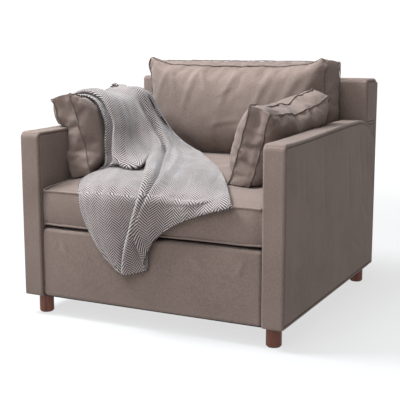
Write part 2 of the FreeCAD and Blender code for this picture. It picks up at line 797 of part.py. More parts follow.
def throw_hanging():
    """The stretch that hangs in front of the chair and narrows to its lowest corner."""
    front = -d.seat_front - d.throw_gap - 1
    top = d.seat_welt + d.throw_gap + d.throw_thick
    return prism("throw_hanging", "XZ_Plane", front - d.throw_hang, front, [
        (-d.throw_left, top), (-187, 312), (-110, 222), (-50, d.throw_low), (0, 222),
        (30, 300), (150, 386), (d.throw_right, top - 16), (d.throw_right, top)])


def make_throw():
    """A woven throw over the left pillow, across the seat and down the front."""
    keep(fuse("throw_blanket", throw_over_pillow(), throw_on_seat(), throw_hanging()),
         "throw_blanket")


# ---------------------------------------------------------------- build, check and write

def build():
    """Make every sub-part."""
    for side in ("left", "right"):
        make_arm_timber(side)
        make_arm_layers(side)
        make_arm_edges(side)
    make_cross_rails()
    make_back_box()
    make_front_rail_upholstery()
    make_suspension()
    make_deck()
    make_feet()
    make_cushion("seat_cushion", "foam", seat_solid, d.seat_rear, d.seat_half,
                 d.seat_low + d.seat_welt / 9)
    make_cushion("back_cushion", "fill", rest_solid, d.rest_low_rear, d.rest_half,
                 d.rest_low + d.rest_belly)
    for side in ("left", "right"):
        make_pillow(side)
    make_throw()
    doc.recompute()


def check():
    """Stop on any failed object or bad sub-part shape."""
    for obj in doc.Objects:
        if "Invalid" in obj.State or "Error" in obj.State:
            raise RuntimeError("%s failed: %s" % (obj.Name, obj.State))
    for part in sub_parts:
        if part.Shape.isNull() or not part.Shape.isValid() or not part.Shape.Solids:
            raise RuntimeError("%s has a bad shape" % part.Label)


def write():
    """Export each sub-part to a file named after it."""
    os.makedirs("parts", exist_ok=True)
    for part in sub_parts:
        part.Shape.exportStep("parts/%s.step" % part.Label)
        solids = len(part.Shape.Solids)
        print("%-28s %2d solid(s) %12.0f mm3" % (part.Label, solids, part.Shape.Volume))
    print(len(sub_parts), "sub-parts")


build()
check()
write()
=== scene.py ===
"""Upholstered armchair with loose cushions, two toss pillows and a woven throw.

Covers, cushions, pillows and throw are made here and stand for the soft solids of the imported
frame; timber, springs, webbing, dust cover and feet keep their own shapes and get finishes.
Lengths are metres, +Z is up and the chair faces -Y.
"""

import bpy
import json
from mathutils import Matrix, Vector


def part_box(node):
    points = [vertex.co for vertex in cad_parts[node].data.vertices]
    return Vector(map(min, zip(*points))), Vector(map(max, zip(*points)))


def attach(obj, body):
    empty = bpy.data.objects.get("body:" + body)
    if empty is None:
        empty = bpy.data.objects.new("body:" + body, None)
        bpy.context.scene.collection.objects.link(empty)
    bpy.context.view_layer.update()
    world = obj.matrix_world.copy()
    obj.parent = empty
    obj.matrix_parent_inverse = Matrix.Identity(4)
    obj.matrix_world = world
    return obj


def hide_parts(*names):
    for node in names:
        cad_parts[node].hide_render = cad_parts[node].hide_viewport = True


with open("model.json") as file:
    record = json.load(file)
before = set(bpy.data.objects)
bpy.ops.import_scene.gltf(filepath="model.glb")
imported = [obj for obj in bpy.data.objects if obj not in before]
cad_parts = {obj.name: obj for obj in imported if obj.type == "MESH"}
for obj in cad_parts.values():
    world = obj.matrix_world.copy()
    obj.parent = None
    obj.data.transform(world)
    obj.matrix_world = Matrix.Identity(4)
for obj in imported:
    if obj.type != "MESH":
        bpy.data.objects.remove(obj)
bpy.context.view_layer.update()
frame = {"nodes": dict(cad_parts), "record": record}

import itertools
import json
import logging
import math
from dataclasses import dataclass, field
from enum import Enum

import bpy
import numpy as np
from mathutils import Euler, Vector
from mathutils.bvhtree import BVHTree

LOG = logging.getLogger("armchair")
MM = 0.001
ARM_INNER = 0.408          # inner face of each arm, from the middle of the chair
Array = np.ndarray
Value = bpy.types.NodeSocket | float | tuple


# ---------------------------------------------------------------- numbers and noise

def mm(*values: float) -> Array:
    """Millimetres as an array of metres."""
    return np.array(values, float) * MM


def ease(value: Array, start: float, end: float) -> Array:
    """Rise smoothly from 0 at start to 1 at end.

    Args:
        value: The values to ease.
        start: Where the rise begins.
        end: Where the rise is complete.

    Returns:
        Values from 0 to 1.
    """
    part = np.clip((value - start) / (end - start), 0, 1)
    return part * part * (3 - 2 * part)


def bell(distance: Array, width: float) -> Array:
    """A smooth bump that is 1 at distance 0 and small beyond the width."""
    return np.exp(-(distance / width) ** 2)


def lattice_value(cell: Array, seed: int) -> Array:
    """A fixed pseudo-random value from -1 to 1 for each whole-number cell.

    Args:
        cell: Whole-number cells, one row for each point.
        seed: Which set of values to use.

    Returns:
        One value for each cell.
    """
    mixed = (cell[:, 0] * 374761393 + cell[:, 1] * 668265263 + cell[:, 2] * 1442695041
             + seed * 974634777).astype(np.int64)
    mixed = (mixed ^ (mixed >> 13)) & 0x7FFFFFFF
    mixed = (mixed * 1274126177) & 0x7FFFFFFF
    mixed = mixed ^ (mixed >> 15)
    return (mixed % 20011) / 10005.0 - 1


def soft_noise(points: Array, size: float | tuple[float, float, float], seed: int) -> Array:
    """Smooth noise through space.

    Args:
        points: Places to read, one row each.
        size: Size of a blob, the same or one value for each axis.
        seed: Which noise.

    Returns:
        One value from about -1 to 1 for each place.
    """
    place = points / np.array(size) + seed * 7.31
    cell = np.floor(place).astype(np.int64)
    part = place - cell
    part = part * part * (3 - 2 * part)
    total = np.zeros(len(points))
    for corner in itertools.product((0, 1), repeat=3):
        weight = np.prod(np.where(np.array(corner) == 1, part, 1 - part), axis=1)
        total += weight * lattice_value(cell + np.array(corner), seed)
    return total


def grid_lines(low: float, high: float, step: float, ends: tuple[float, ...]) -> Array:
    """Places of grid lines along one side of a piece, closer together near both ends.

    Args:
        low: Lower end.
        high: Upper end.
        step: Spacing in the middle.
        ends: Distances from each end that get a line of their own.

    Returns:
        The rising places, the two ends included.
    """
    first = low + np.array((0.0,) + tuple(ends))
    last = (high - np.array((0.0,) + tuple(ends)))[::-1]
    count = max(2, int(round((last[0] - first[-1]) / step)))
    return np.concatenate([first, np.linspace(first[-1], last[0], count + 1)[1:-1], last])


# ---------------------------------------------------------------- skins

@dataclass
class Skin:
    """A surface of quads with marks painted on its points.

    Args:
        points: One row of x, y, z for each point.
        quads: One row of four point numbers for each face, turning outwards.
        marks: Painted values by name, one for each point.
    """

    points: Array
    quads: Array
    marks: dict[str, Array] = field(default_factory=dict)

    def normals(self) -> Array:
        """The outward direction at every point.

        Returns:
            One unit direction for each point.
        """
        corner = self.points[self.quads]
        flat = np.cross(corner[:, 2] - corner[:, 0], corner[:, 3] - corner[:, 1])
        total = np.zeros_like(self.points)
        for side in range(4):
            np.add.at(total, self.quads[:, side], flat)
        length = np.linalg.norm(total, axis=1, keepdims=True)
        return total / np.maximum(length, 1e-12)

    def swell(self, heights: Array) -> None:
        """Move every point along its own outward direction."""
        self.points = self.points + self.normals() * heights[:, None]

    def paint(self, name: str, values: Array) -> None:
        """Add to a painted mark, which starts at nothing."""
        self.marks[name] = self.marks.get(name, np.zeros(len(self.points))) + values

    def build(self, name: str, *finishes: bpy.types.Material) -> bpy.types.Object:
        """Make the mesh object.

        Args:
            name: Name of the piece.
            finishes: Its materials.

        Returns:
            The object, at the origin.
        """
        mesh = bpy.data.meshes.new(name)
        mesh.from_pydata(self.points.tolist(), [], self.quads.tolist())
        for mark, values in self.marks.items():
            layer = mesh.attributes.new(mark, "FLOAT", "POINT")
            layer.data.foreach_set("value", np.ascontiguousarray(values, np.float32))
        mesh.polygons.foreach_set("use_smooth", np.ones(len(mesh.polygons), bool))
        for finish in finishes:
            mesh.materials.append(finish)
        mesh.update()
        made = bpy.data.objects.new(name, mesh)
        bpy.context.scene.collection.objects.link(made)
        return made


class BoxSkin(Skin):
    """A closed box of quads that the soft shapes start from."""

    def __init__(self, xs: Array, ys: Array, zs: Array) -> None:
        """Lay the grid.

        Args:
            xs: Places of the grid lines along x.
            ys: Places of the grid lines along y.
            zs: Places of the grid lines along z.
        """
        shell = np.zeros((len(xs), len(ys), len(zs)), bool)
        shell[[0, -1]] = True
        shell[:, [0, -1]] = True
        shell[:, :, [0, -1]] = True
        self.index = np.full(shell.shape, -1)
        self.index[shell] = np.arange(shell.sum())
        self.cell = np.stack(np.nonzero(shell), axis=1)
        points = np.stack([xs[self.cell[:, 0]], ys[self.cell[:, 1]], zs[self.cell[:, 2]]], 1)
        super().__init__(points, self.face_quads())
        self.rest = points.copy()
        self.low, self.high = points.min(0), points.max(0)

    def face_quads(self) -> Array:
        """The quads of the six faces, turning outwards.

        Returns:
            The four point numbers of each quad.
        """
        quads = []
        for axis in range(3):
            for end in (0, -1):
                layer = np.take(self.index, end, axis)
                loop = np.stack([layer[:-1, :-1], layer[1:, :-1], layer[1:, 1:],
                                 layer[:-1, 1:]], -1).reshape(-1, 4)
                outward = (end == -1) != (axis == 1)
                quads.append(loop if outward else loop[:, ::-1])
        return np.concatenate(quads)

    def on_face(self, axis: int, end: int) -> Array:
        """Which points lie on one face; end is 0 for the low one and -1 for the high one."""
        last = self.index.shape[axis] - 1
        return self.cell[:, axis] == (0 if end == 0 else last)

    def rim(self, axis: int, end: int) -> Array:
        """The point numbers round one face, in order."""
        layer = np.take(self.index, end, axis)
        return np.concatenate([layer[:-1, 0], layer[-1, :-1], layer[:0:-1, -1],
                               layer[0, :0:-1]])

    def from_border(self, axis: int) -> Array:
        """Distance of each point from the nearest border of the faces across one axis.

        Args:
            axis: The axis that the faces stand across.

        Returns:
            One distance for each point.
        """
        others = [n for n in range(3) if n != axis]
        inner = np.minimum(self.rest - self.low, self.high - self.rest)
        return inner[:, others].min(1)

    def round_edges(self, radius: float) -> None:
        """Round every edge and corner of the box to one radius.

        Args:
            radius: Radius of the rounding.
        """
        core = np.clip(self.points, self.low + radius, self.high - radius)
        arm = self.points - core
        length = np.linalg.norm(arm, axis=1, keepdims=True)
        self.points = core + arm * (radius / np.maximum(length, 1e-9))

    def round_corner(self, axes: tuple[int, int], way: tuple[int, int], radius: float) -> None:
        """Round one upright edge of the box to a larger radius.

        Args:
            axes: The two axes across the edge.
            way: +1 or -1 for each, the side of the box that the edge is on.
            radius: Radius of the round.
        """
        reach = [(self.points[:, a] - (self.high[a] if w > 0 else self.low[a])) * w + radius
                 for a, w in zip(axes, way)]
        inside = (reach[0] > 0) & (reach[1] > 0)
        square = np.maximum(reach[0], reach[1])
        length = np.hypot(reach[0], reach[1])
        scale = np.where(inside, square / np.maximum(length, 1e-9), 1)
        for a, w, part in zip(axes, way, reach):
            self.points[:, a] += np.where(inside, part * (scale - 1) * w, 0)

    def groove(self, axis: int, inset: float, depth: float, width: float) -> None:
        """Press a seam into both faces across one axis, at a distance from their borders.

        Args:
            axis: The axis across the two faces.
            inset: Distance of the seam from the border.
            depth: Depth of the seam.
            width: Half-width of the seam.
        """
        face = self.on_face(axis, 0) | self.on_face(axis, -1)
        seam = np.where(face, bell(self.from_border(axis) - inset, width), 0)
        self.swell(-depth * seam)
        # Painted shade along the pressed seam, through the seam mark.
        self.paint("seam", seam)


@dataclass(frozen=True)
class Crease:
    """One fold in a cover, from start to end in the plane of its face.

    Args:
        start: Place of one end, in metres.
        end: Place of the other end.
        height: How far the fold stands out.
        width: Half-width of the fold.
    """

    start: tuple[float, float]
    end: tuple[float, float]
    height: float = 0.002
    width: float = 0.009

    def rise(self, flat: Array) -> Array:
        """The height of the fold and its hollow at places in the plane of the face.

        Args:
            flat: Places in the plane of the face.

        Returns:
            One height for each place.
        """
        start, end = np.array(self.start), np.array(self.end)
        along = end - start
        length = np.linalg.norm(along)
        along = along / length
        offset = flat - start
        part = offset @ along / length
        side = offset @ np.array([-along[1], along[0]])
        side = side + 0.12 * length * np.sin(part * 2.6) * 0.3
        taper = ease(part, -0.05, 0.25) * (1 - ease(part, 0.65, 1.05))
        ridge = bell(side, self.width) - 0.7 * bell(side - 1.7 * self.width, self.width)
        return self.height * taper * ridge


def fold_in(skin: Skin, flat: Array, where: Array, creases: list[Crease]) -> None:
    """Press a set of creases into part of a skin.

    Args:
        skin: The skin to shape.
        flat: Places of its points in the plane of the face.
        where: How much of the crease each point takes, from 0 to 1.
        creases: The creases.
    """
    height = np.zeros(len(skin.points))
    for crease in creases:
        height += crease.rise(flat)
    height *= where
    skin.swell(height)
    # Painted shade in the hollows beside each crease and painted highlight on its ridge, through the
    # fold mark.
    skin.paint("fold", height / 0.004)


def tube_along(path: Array, radius: float, sides: int = 6, lean: Array | None = None) -> Skin:
    """A closed cord that follows a closed path.

    Args:
        path: The path's points in order, its last joining its first.
        radius: Radius of the cord.
        sides: Number of sides of the cord.
        lean: Direction at each point in which the cord stands proud by its radius.

    Returns:
        The cord's skin.
    """
    ahead = np.roll(path, -1, 0) - np.roll(path, 1, 0)
    ahead /= np.linalg.norm(ahead, axis=1, keepdims=True)
    up = lean if lean is not None else np.tile([0.0, 0.0, 1.0], (len(path), 1))
    side = np.cross(ahead, up)
    side /= np.maximum(np.linalg.norm(side, axis=1, keepdims=True), 1e-9)
    up = np.cross(side, ahead)
    turn = np.linspace(0, 2 * math.pi, sides, endpoint=False)
    ring = (side[:, None] * np.cos(turn)[None, :, None]
            + up[:, None] * np.sin(turn)[None, :, None]) * radius
    points = (path[:, None] + ring).reshape(-1, 3)
    row, column = np.meshgrid(np.arange(len(path)), np.arange(sides), indexing="ij")
    follow, beside = (row + 1) % len(path), (column + 1) % sides
    quads = np.stack([row * sides + column, follow * sides + column,
                      follow * sides + beside, row * sides + beside], -1).reshape(-1, 4)
    skin = Skin(points, quads)
    outward = np.einsum("ij,ij->i", skin.normals(), ring.reshape(-1, 3)).sum()
    return skin if outward > 0 else Skin(points, quads[:, ::-1])


def joined(*skins: Skin) -> Skin:
    """Several skins as one, with their painted marks.

    Args:
        *skins: The skins to join.

    Returns:
        The skin that holds them all.
    """
    names = {name for skin in skins for name in skin.marks}
    start = np.cumsum([0] + [len(skin.points) for skin in skins])
    marks = {name: np.concatenate([skin.marks.get(name, np.zeros(len(skin.points)))
                                   for skin in skins]) for name in sorted(names)}
    return Skin(np.concatenate([skin.points for skin in skins]),
                np.concatenate([skin.quads + n for skin, n in zip(skins, start)]), marks)


def smooth_ring(values: Array, times: int) -> Array:
    """Average each point of a closed path with its neighbours, several times."""
    for _ in range(times):
        values = (np.roll(values, 1, 0) + 2 * values + np.roll(values, -1, 0)) / 4
    return values


# ---------------------------------------------------------------- stuffing

@dataclass(frozen=True)
class Stuffing:
    """How a sewn cover is filled: cloth under pressure from inside.

    Args:
        pressure: Push of the filling.
        frames: Number of steps the cloth settles for.
        slack: Share by which the panels are larger than the shape they start in.
        gather: Share by which the seams draw up.
        reach: Farthest that any point may move.
        bending: Stiffness of the cloth against bending.
    """

    pressure: float = 4.0
    frames: int = 20
    slack: float = 0.03
    gather: float = 0.03
    reach: float = 0.05
    bending: float = 0.4

    def fill(self, skin: Skin, seams: Array, held: Array) -> None:
        """Fill a closed cover and keep the settled shape.

        Args:
            skin: The cover, which is changed.
            seams: How much each point belongs to a seam, from 0 to 1.
            held: How firmly each point is held in place, from 0 to 1.
        """
        start = skin.points.copy()
        work = skin.build("stuffing_work")
        for name, weights in (("held", held), ("gather", seams)):
            group = work.vertex_groups.new(name=name)
            for level in np.unique(np.round(weights, 2)):
                picked = np.nonzero(np.round(weights, 2) == level)[0]
                if level > 0:
                    group.add(picked.tolist(), float(level), "REPLACE")
        cloth = work.modifiers.new("cloth", "CLOTH")
        settings = cloth.settings
        settings.quality = 6
        settings.mass = 0.3
        settings.air_damping = 3
        settings.tension_stiffness = settings.compression_stiffness = 25
        settings.shear_stiffness = 6
        settings.bending_stiffness = self.bending
        settings.use_pressure = True
        settings.uniform_pressure_force = self.pressure
        settings.effector_weights.gravity = 0
        settings.vertex_group_mass = "held"
        settings.vertex_group_shrink = "gather"
        settings.shrink_min = -self.slack
        settings.shrink_max = self.gather
        cloth.collision_settings.use_collision = False
        scene = bpy.context.scene
        for number in range(1, self.frames + 1):
            scene.frame_set(number)
        settled = work.evaluated_get(bpy.context.evaluated_depsgraph_get()).data
        place = np.zeros(len(start) * 3, np.float32)
        settled.vertices.foreach_get("co", place)
        scene.frame_set(1)
        mesh = work.data
        bpy.data.objects.remove(work)
        bpy.data.meshes.remove(mesh)
        move = place.reshape(-1, 3).astype(float) - start
        length = np.linalg.norm(move, axis=1, keepdims=True)
        cap = self.reach * np.tanh(length / self.reach)
        skin.points = start + move * (cap / np.maximum(length, 1e-9))


# ---------------------------------------------------------------- finishes

def linear(red: int, green: int, blue: int) -> tuple[float, float, float, float]:
    """A display colour of 0 to 255 as a linear colour.

    Args:
        red: Red, from 0 to 255.
        green: Green, from 0 to 255.
        blue: Blue, from 0 to 255.

    Returns:
        The linear colour, with an opaque alpha.
    """
    part = [value / 255 for value in (red, green, blue)]
    flat = [v / 12.92 if v <= 0.04045 else ((v + 0.055) / 1.055) ** 2.4 for v in part]
    return (*flat, 1.0)


class Recipe:
    """A material while its nodes are being put together."""

    def __init__(self, name: str, roughness: float, **sockets: float) -> None:
        """Start a material.

        Args:
            name: Name of the material.
            roughness: Its roughness.
            sockets: Other fixed values of the shader, with _ for a space in their names.
        """
        self.material = bpy.data.materials.new(name)
        self.material.use_nodes = True
        self.tree = self.material.node_tree
        self.shader = self.tree.nodes["Principled BSDF"]
        self.shader.inputs["Roughness"].default_value = roughness
        for socket, value in sockets.items():
            self.shader.inputs[socket.replace("_", " ")].default_value = value
        self.place = self.node("ShaderNodeTexCoord").outputs["Object"]

    def node(self, kind: str, inputs: dict | None = None, **settings) -> bpy.types.Node:
        """Add a node.

        Args:
            kind: Its type.
            inputs: Values or sockets for its inputs, by name or number.
            settings: Its own properties.

        Returns:
            The node.
        """
        made = self.tree.nodes.new(kind)
        for name, value in settings.items():
            setattr(made, name, value)
        for name, value in (inputs or {}).items():
            if isinstance(value, bpy.types.NodeSocket):
                self.tree.links.new(value, made.inputs[name])
            else:
                made.inputs[name].default_value = value
        return made

    def math(self, kind: str, *values) -> bpy.types.NodeSocket:
        """The result of a sum on numbers or sockets."""
        return self.node("ShaderNodeMath", dict(enumerate(values)), operation=kind).outputs[0]

    def scaled(self, *scale: float) -> bpy.types.NodeSocket:
        """The piece's coordinates, scaled along x, y and z."""
        return self.node("ShaderNodeMapping", {"Vector": self.place, "Scale": scale}).outputs[0]

    def noise(self, place: bpy.types.NodeSocket, scale: float, detail: float = 2,
              distortion: float = 0) -> bpy.types.NodeSocket:
        """Cloudy noise as a number from 0 to 1."""
        return self.node("ShaderNodeTexNoise", {
            "Vector": place, "Scale": scale, "Detail": detail,
            "Distortion": distortion}).outputs["Fac"]

    def range(self, value: bpy.types.NodeSocket, low: float, high: float, out_low: float = 0,
              out_high: float = 1) -> bpy.types.NodeSocket:
        """Map a number smoothly from one range to another."""
        return self.node("ShaderNodeMapRange", {
            "Value": value, "From Min": low, "From Max": high, "To Min": out_low,
            "To Max": out_high}, interpolation_type="SMOOTHSTEP").outputs[0]

    def blend(self, part: Value, first: Value, second: Value, kind: str = "MIX") -> bpy.types.NodeSocket:
        """Mix two colours.

        Args:
            part: How much of the second colour shows.
            first: The first colour.
            second: The second colour.
            kind: How the two are mixed.

        Returns:
            Socket of the mixed colour.
        """
        made = self.node("ShaderNodeMix", data_type="RGBA", blend_type=kind)
        for socket, value in ((0, part), (6, first), (7, second)):
            if isinstance(value, bpy.types.NodeSocket):
                self.tree.links.new(value, made.inputs[socket])
            else:
                made.inputs[socket].default_value = value
        return made.outputs[2]

    def mark(self, name: str) -> bpy.types.NodeSocket:
        """A painted mark of the piece, or 0 where it has none."""
        return self.node("ShaderNodeAttribute", attribute_name=name).outputs["Fac"]

    def bump(self, height: bpy.types.NodeSocket, strength: float, distance: float,
             over: bpy.types.NodeSocket | None = None) -> bpy.types.NodeSocket:
        """Relief from a height, on top of another relief if one is given.

        Args:
            height: Socket of the height.
            strength: How strong the relief is.
            distance: How deep the relief is.
            over: The relief under it, if any.

        Returns:
            Socket of the relief.
        """
        inputs = {"Height": height, "Strength": strength, "Distance": distance}
        if over is not None:
            inputs["Normal"] = over
        return self.node("ShaderNodeBump", inputs).outputs[0]

    def finish(self, colour: bpy.types.NodeSocket, normal: bpy.types.NodeSocket | None = None,
               roughness: bpy.types.NodeSocket | None = None) -> bpy.types.Material:
        """Join the last sockets to the shader.

        Args:
            colour: Socket of the base colour.
            normal: Socket of the relief.
            roughness: Socket of the roughness, where it varies.

        Returns:
            The material.
        """
        for name, socket in (("Base Color", colour), ("Normal", normal),
                             ("Roughness", roughness)):
            if socket is not None:
                self.tree.links.new(socket, self.shader.inputs[name])
        return self.material


@dataclass(frozen=True)
class BrushedCotton:
    """The chair's cover cloth: a close plain weave with a soft brushed face.

    Args:
        name: Name of the material.
        light: Colour of the brushed face; the painted highlight on crests of folds leans towards it.
        deep: Colour between the threads; the painted shade in the hollows of folds leans towards it, and
            the painted shade along seams towards a third of it.
        thread: Number of threads in a metre.
        crumple: Height of the small creases in metres.
    """

    name: str = "cover_cloth"
    light: tuple[int, int, int] = (129, 113, 106)
    deep: tuple[int, int, int] = (99, 84, 77)
    thread: float = 1300
    crumple: float = 0.0025

    def make(self) -> bpy.types.Material:
        """The material.

        Returns:
            The finished material.
        """
        mix = Recipe(self.name, 0.86, Sheen_Weight=0.14, Sheen_Roughness=0.4,
                     Specular_IOR_Level=0.16)
        clouds = mix.noise(mix.place, 7, 4, 0.4)
        nap = mix.noise(mix.place, 190, 3)
        t = self.thread
        warp = mix.noise(mix.scaled(t, t, t * 0.06), 1, 1)
        weft = mix.noise(mix.scaled(t, t * 0.06, t), 1, 1)
        cross = mix.noise(mix.scaled(t * 0.06, t, t), 1, 1)
        threads = mix.math("ADD", mix.math("ADD", warp, weft), cross)
        fine = mix.range(threads, 1.2, 1.8)
        tone = mix.math("ADD", mix.math("MULTIPLY", mix.range(clouds, 0.3, 0.7), 0.22),
                        mix.math("MULTIPLY", mix.range(nap, 0.3, 0.7), 0.3))
        tone = mix.math("ADD", tone, mix.math("MULTIPLY", fine, 0.25))
        # Painted shade and highlight: the fold mark darkens the hollows of folds and lightens their
        # crests.
        tone = mix.math("ADD", tone, mix.math("MULTIPLY", mix.mark("fold"), 0.5))
        face = mix.blend(tone, linear(*self.deep), linear(*self.light))
        # Painted shade along seams: the seam mark darkens the cloth towards a third of the deep colour.
        seam = mix.math("MULTIPLY", mix.mark("seam"), 0.7)
        face = mix.blend(seam, face, linear(*(v // 3 for v in self.deep)))
        relief = mix.bump(threads, 0.35, 0.0004)
        relief = mix.bump(nap, 0.25, 0.0006, relief)
        crumple = mix.noise(mix.scaled(9, 9, 4), 1, 4, 1.4)
        relief = mix.bump(crumple, 0.35, self.crumple * 3, relief)
        rough = mix.range(nap, 0.2, 0.8, 0.78, 0.94)
        return mix.finish(face, relief, rough)


@dataclass(frozen=True)
class HerringboneWeave:
    """The throw's cloth: dark and pale yarn in a broken zigzag twill.

    Args:
        name: Name of the material.
        pale: Colour of the pale yarn.
        dark: Colour of the dark yarn.
        column: Width of one zigzag column.
        pitch: Distance from one pale yarn to the next along the cloth.
    """

    name: str = "throw_weave"
    pale: tuple[int, int, int] = (157, 145, 142)
    dark: tuple[int, int, int] = (20, 16, 16)
    column: float = 0.025
    pitch: float = 0.0094

    def make(self) -> bpy.types.Material:
        """The material.

        Returns:
            The finished material.
        """
        mix = Recipe(self.name, 0.92, Sheen_Weight=0.35, Sheen_Roughness=0.5,
                     Specular_IOR_Level=0.15)
        cloth = mix.node("ShaderNodeUVMap", uv_map="weave").outputs[0]
        part = mix.node("ShaderNodeSeparateXYZ", {0: cloth})
        across, along = part.outputs[0], part.outputs[1]
        wobble = mix.math("MULTIPLY", mix.math("SUBTRACT", mix.noise(mix.place, 60, 2), 0.5),
                          0.0022)
        column = mix.math("DIVIDE", mix.math("ADD", across, wobble), self.column)
        zigzag = mix.math("PINGPONG", column, 1.0)
        skip = mix.math("MULTIPLY", mix.math("FLOOR", column), 0.5)
        slope = mix.math("MULTIPLY", zigzag, self.column / self.pitch)
        turn = mix.math("ADD", mix.math("ADD", mix.math("DIVIDE", along, self.pitch), slope),
                        skip)
        wave = mix.math("SINE", mix.math("MULTIPLY", turn, 2 * math.pi))
        yarn = mix.range(wave, -0.35, 0.45)
        fuzz = mix.noise(mix.place, 420, 3)
        worn = mix.noise(mix.place, 9, 3, 0.5)
        yarn = mix.math("ADD", yarn, mix.math("MULTIPLY", mix.math("SUBTRACT", fuzz, 0.5), 0.5))
        yarn = mix.math("ADD", yarn, mix.math("MULTIPLY", mix.math("SUBTRACT", worn, 0.45), 0.7))
        face = mix.blend(yarn, linear(*self.dark), linear(*self.pale))
        relief = mix.bump(wave, 0.55, 0.0009)
        relief = mix.bump(fuzz, 0.5, 0.0009, relief)
        return mix.finish(face, relief)


@dataclass(frozen=True)
class Thread:
    """Sewing thread or thick yarn with a twist."""

    name: str
    colour: tuple[int, int, int]

    def make(self) -> bpy.types.Material:
        """The material.

        Returns:
            The finished material.
        """
        mix = Recipe(self.name, 0.75, Sheen_Weight=0.2)
        twist = mix.noise(mix.place, 900, 2, 0.6)
        face = mix.blend(twist, linear(*(v // 2 for v in self.colour)), linear(*self.colour))
        return mix.finish(face, mix.bump(twist, 0.4, 0.0004))


@dataclass(frozen=True)
class Timber:
    """Wood with its grain along one axis.

    Args:
        name: Name of the material.
        light: Colour of the early wood.
        dark: Colour of the late wood.
        along: Index of the axis that the grain follows.
        roughness: Roughness of the surface.
        coat: How much clear finish it has.
    """

    name: str
    light: tuple[int, int, int]
    dark: tuple[int, int, int]
    along: int = 2
    roughness: float = 0.5
    coat: float = 0.0

    def make(self) -> bpy.types.Material:
        """The material.

        Returns:
            The finished material.
        """
        mix = Recipe(self.name, self.roughness, Coat_Weight=self.coat, Coat_Roughness=0.35)
        long = [70.0, 70.0, 70.0]
        long[self.along] = 5.0
        rings = mix.noise(mix.scaled(*long), 1, 4, 1.2)
        fine = [900.0, 900.0, 900.0]
        fine[self.along] = 25.0
        pores = mix.noise(mix.scaled(*fine), 1, 2)
        tone = mix.math("ADD", mix.math("MULTIPLY", mix.range(rings, 0.3, 0.7), 0.75),
                        mix.math("MULTIPLY", pores, 0.3))
        face = mix.blend(tone, linear(*self.dark), linear(*self.light))
        rough = mix.range(pores, 0.3, 0.7, self.roughness + 0.08, self.roughness - 0.06)
        return mix.finish(face, mix.bump(tone, 0.2, 0.0005), rough)


@dataclass(frozen=True)
class Foam:
    """Open-cell foam or felted wadding."""

    name: str = "foam"
    colour: tuple[int, int, int] = (224, 214, 186)

    def make(self) -> bpy.types.Material:
        """The material.

        Returns:
            The finished material.
        """
        mix = Recipe(self.name, 0.95)
        cells = mix.node("ShaderNodeTexVoronoi", {"Vector": mix.place, "Scale": 700.0})
        clouds = mix.noise(mix.place, 12, 3)
        tone = mix.math("MULTIPLY", cells.outputs["Distance"], clouds)
        face = mix.blend(tone, linear(*self.colour), linear(*(v // 2 for v in self.colour)))
        return mix.finish(face, mix.bump(cells.outputs["Distance"], 0.6, 0.0006))


@dataclass(frozen=True)
class SpringSteel:
    """Bare wire and pressed metal."""

    name: str = "spring_steel"
    colour: tuple[int, int, int] = (150, 150, 154)

    def make(self) -> bpy.types.Material:
        """The material.

        Returns:
            The finished material.
        """
        mix = Recipe(self.name, 0.38, Metallic=1.0)
        drawn = mix.noise(mix.scaled(40, 40, 40), 8, 3)
        face = mix.blend(drawn, linear(*(v // 2 for v in self.colour)), linear(*self.colour))
        return mix.finish(face, mix.bump(drawn, 0.1, 0.0003), mix.range(drawn, 0, 1, 0.3, 0.5))


@dataclass(frozen=True)
class CoarseCloth:
    """Webbing, lining and dust cloth: an open coarse weave."""

    name: str
    colour: tuple[int, int, int]
    thread: float = 700

    def make(self) -> bpy.types.Material:
        """The material.

        Returns:
            The finished material.
        """
        mix = Recipe(self.name, 0.9, Sheen_Weight=0.1)
        t = self.thread
        warp = mix.noise(mix.scaled(t * 0.05, t, t), 1, 1)
        weft = mix.noise(mix.scaled(t, t * 0.05, t), 1, 1)
        rise = mix.noise(mix.scaled(t, t, t * 0.05), 1, 1)
        weave = mix.range(mix.math("ADD", mix.math("ADD", warp, weft), rise), 1.1, 1.9)
        face = mix.blend(weave, linear(*(v // 2 for v in self.colour)), linear(*self.colour))
        return mix.finish(face, mix.bump(weave, 0.6, 0.0008))


@dataclass(frozen=True)
class Moulded:
    """Dull moulded plastic for the glides."""

    name: str = "glide"
    colour: tuple[int, int, int] = (48, 44, 42)

    def make(self) -> bpy.types.Material:
        """The material.

        Returns:
            The finished material.
        """
        mix = Recipe(self.name, 0.5)
        grain = mix.noise(mix.place, 800, 2)
        face = mix.blend(grain, linear(*(v // 2 for v in self.colour)), linear(*self.colour))
        return mix.finish(face, mix.bump(grain, 0.2, 0.0003))


class Slot(Enum):
    """The record's material slots."""

    COVER = "cover_cloth"
    FOAM = "foam"
    FRAME = "frame_wood"
    BOARD = "board"
    STEEL = "spring_steel"
    WEBBING = "webbing"
    UNDER = "under_cloth"
    FOOT = "foot_wood"
    GLIDE = "glide"
    THROW = "throw_weave"


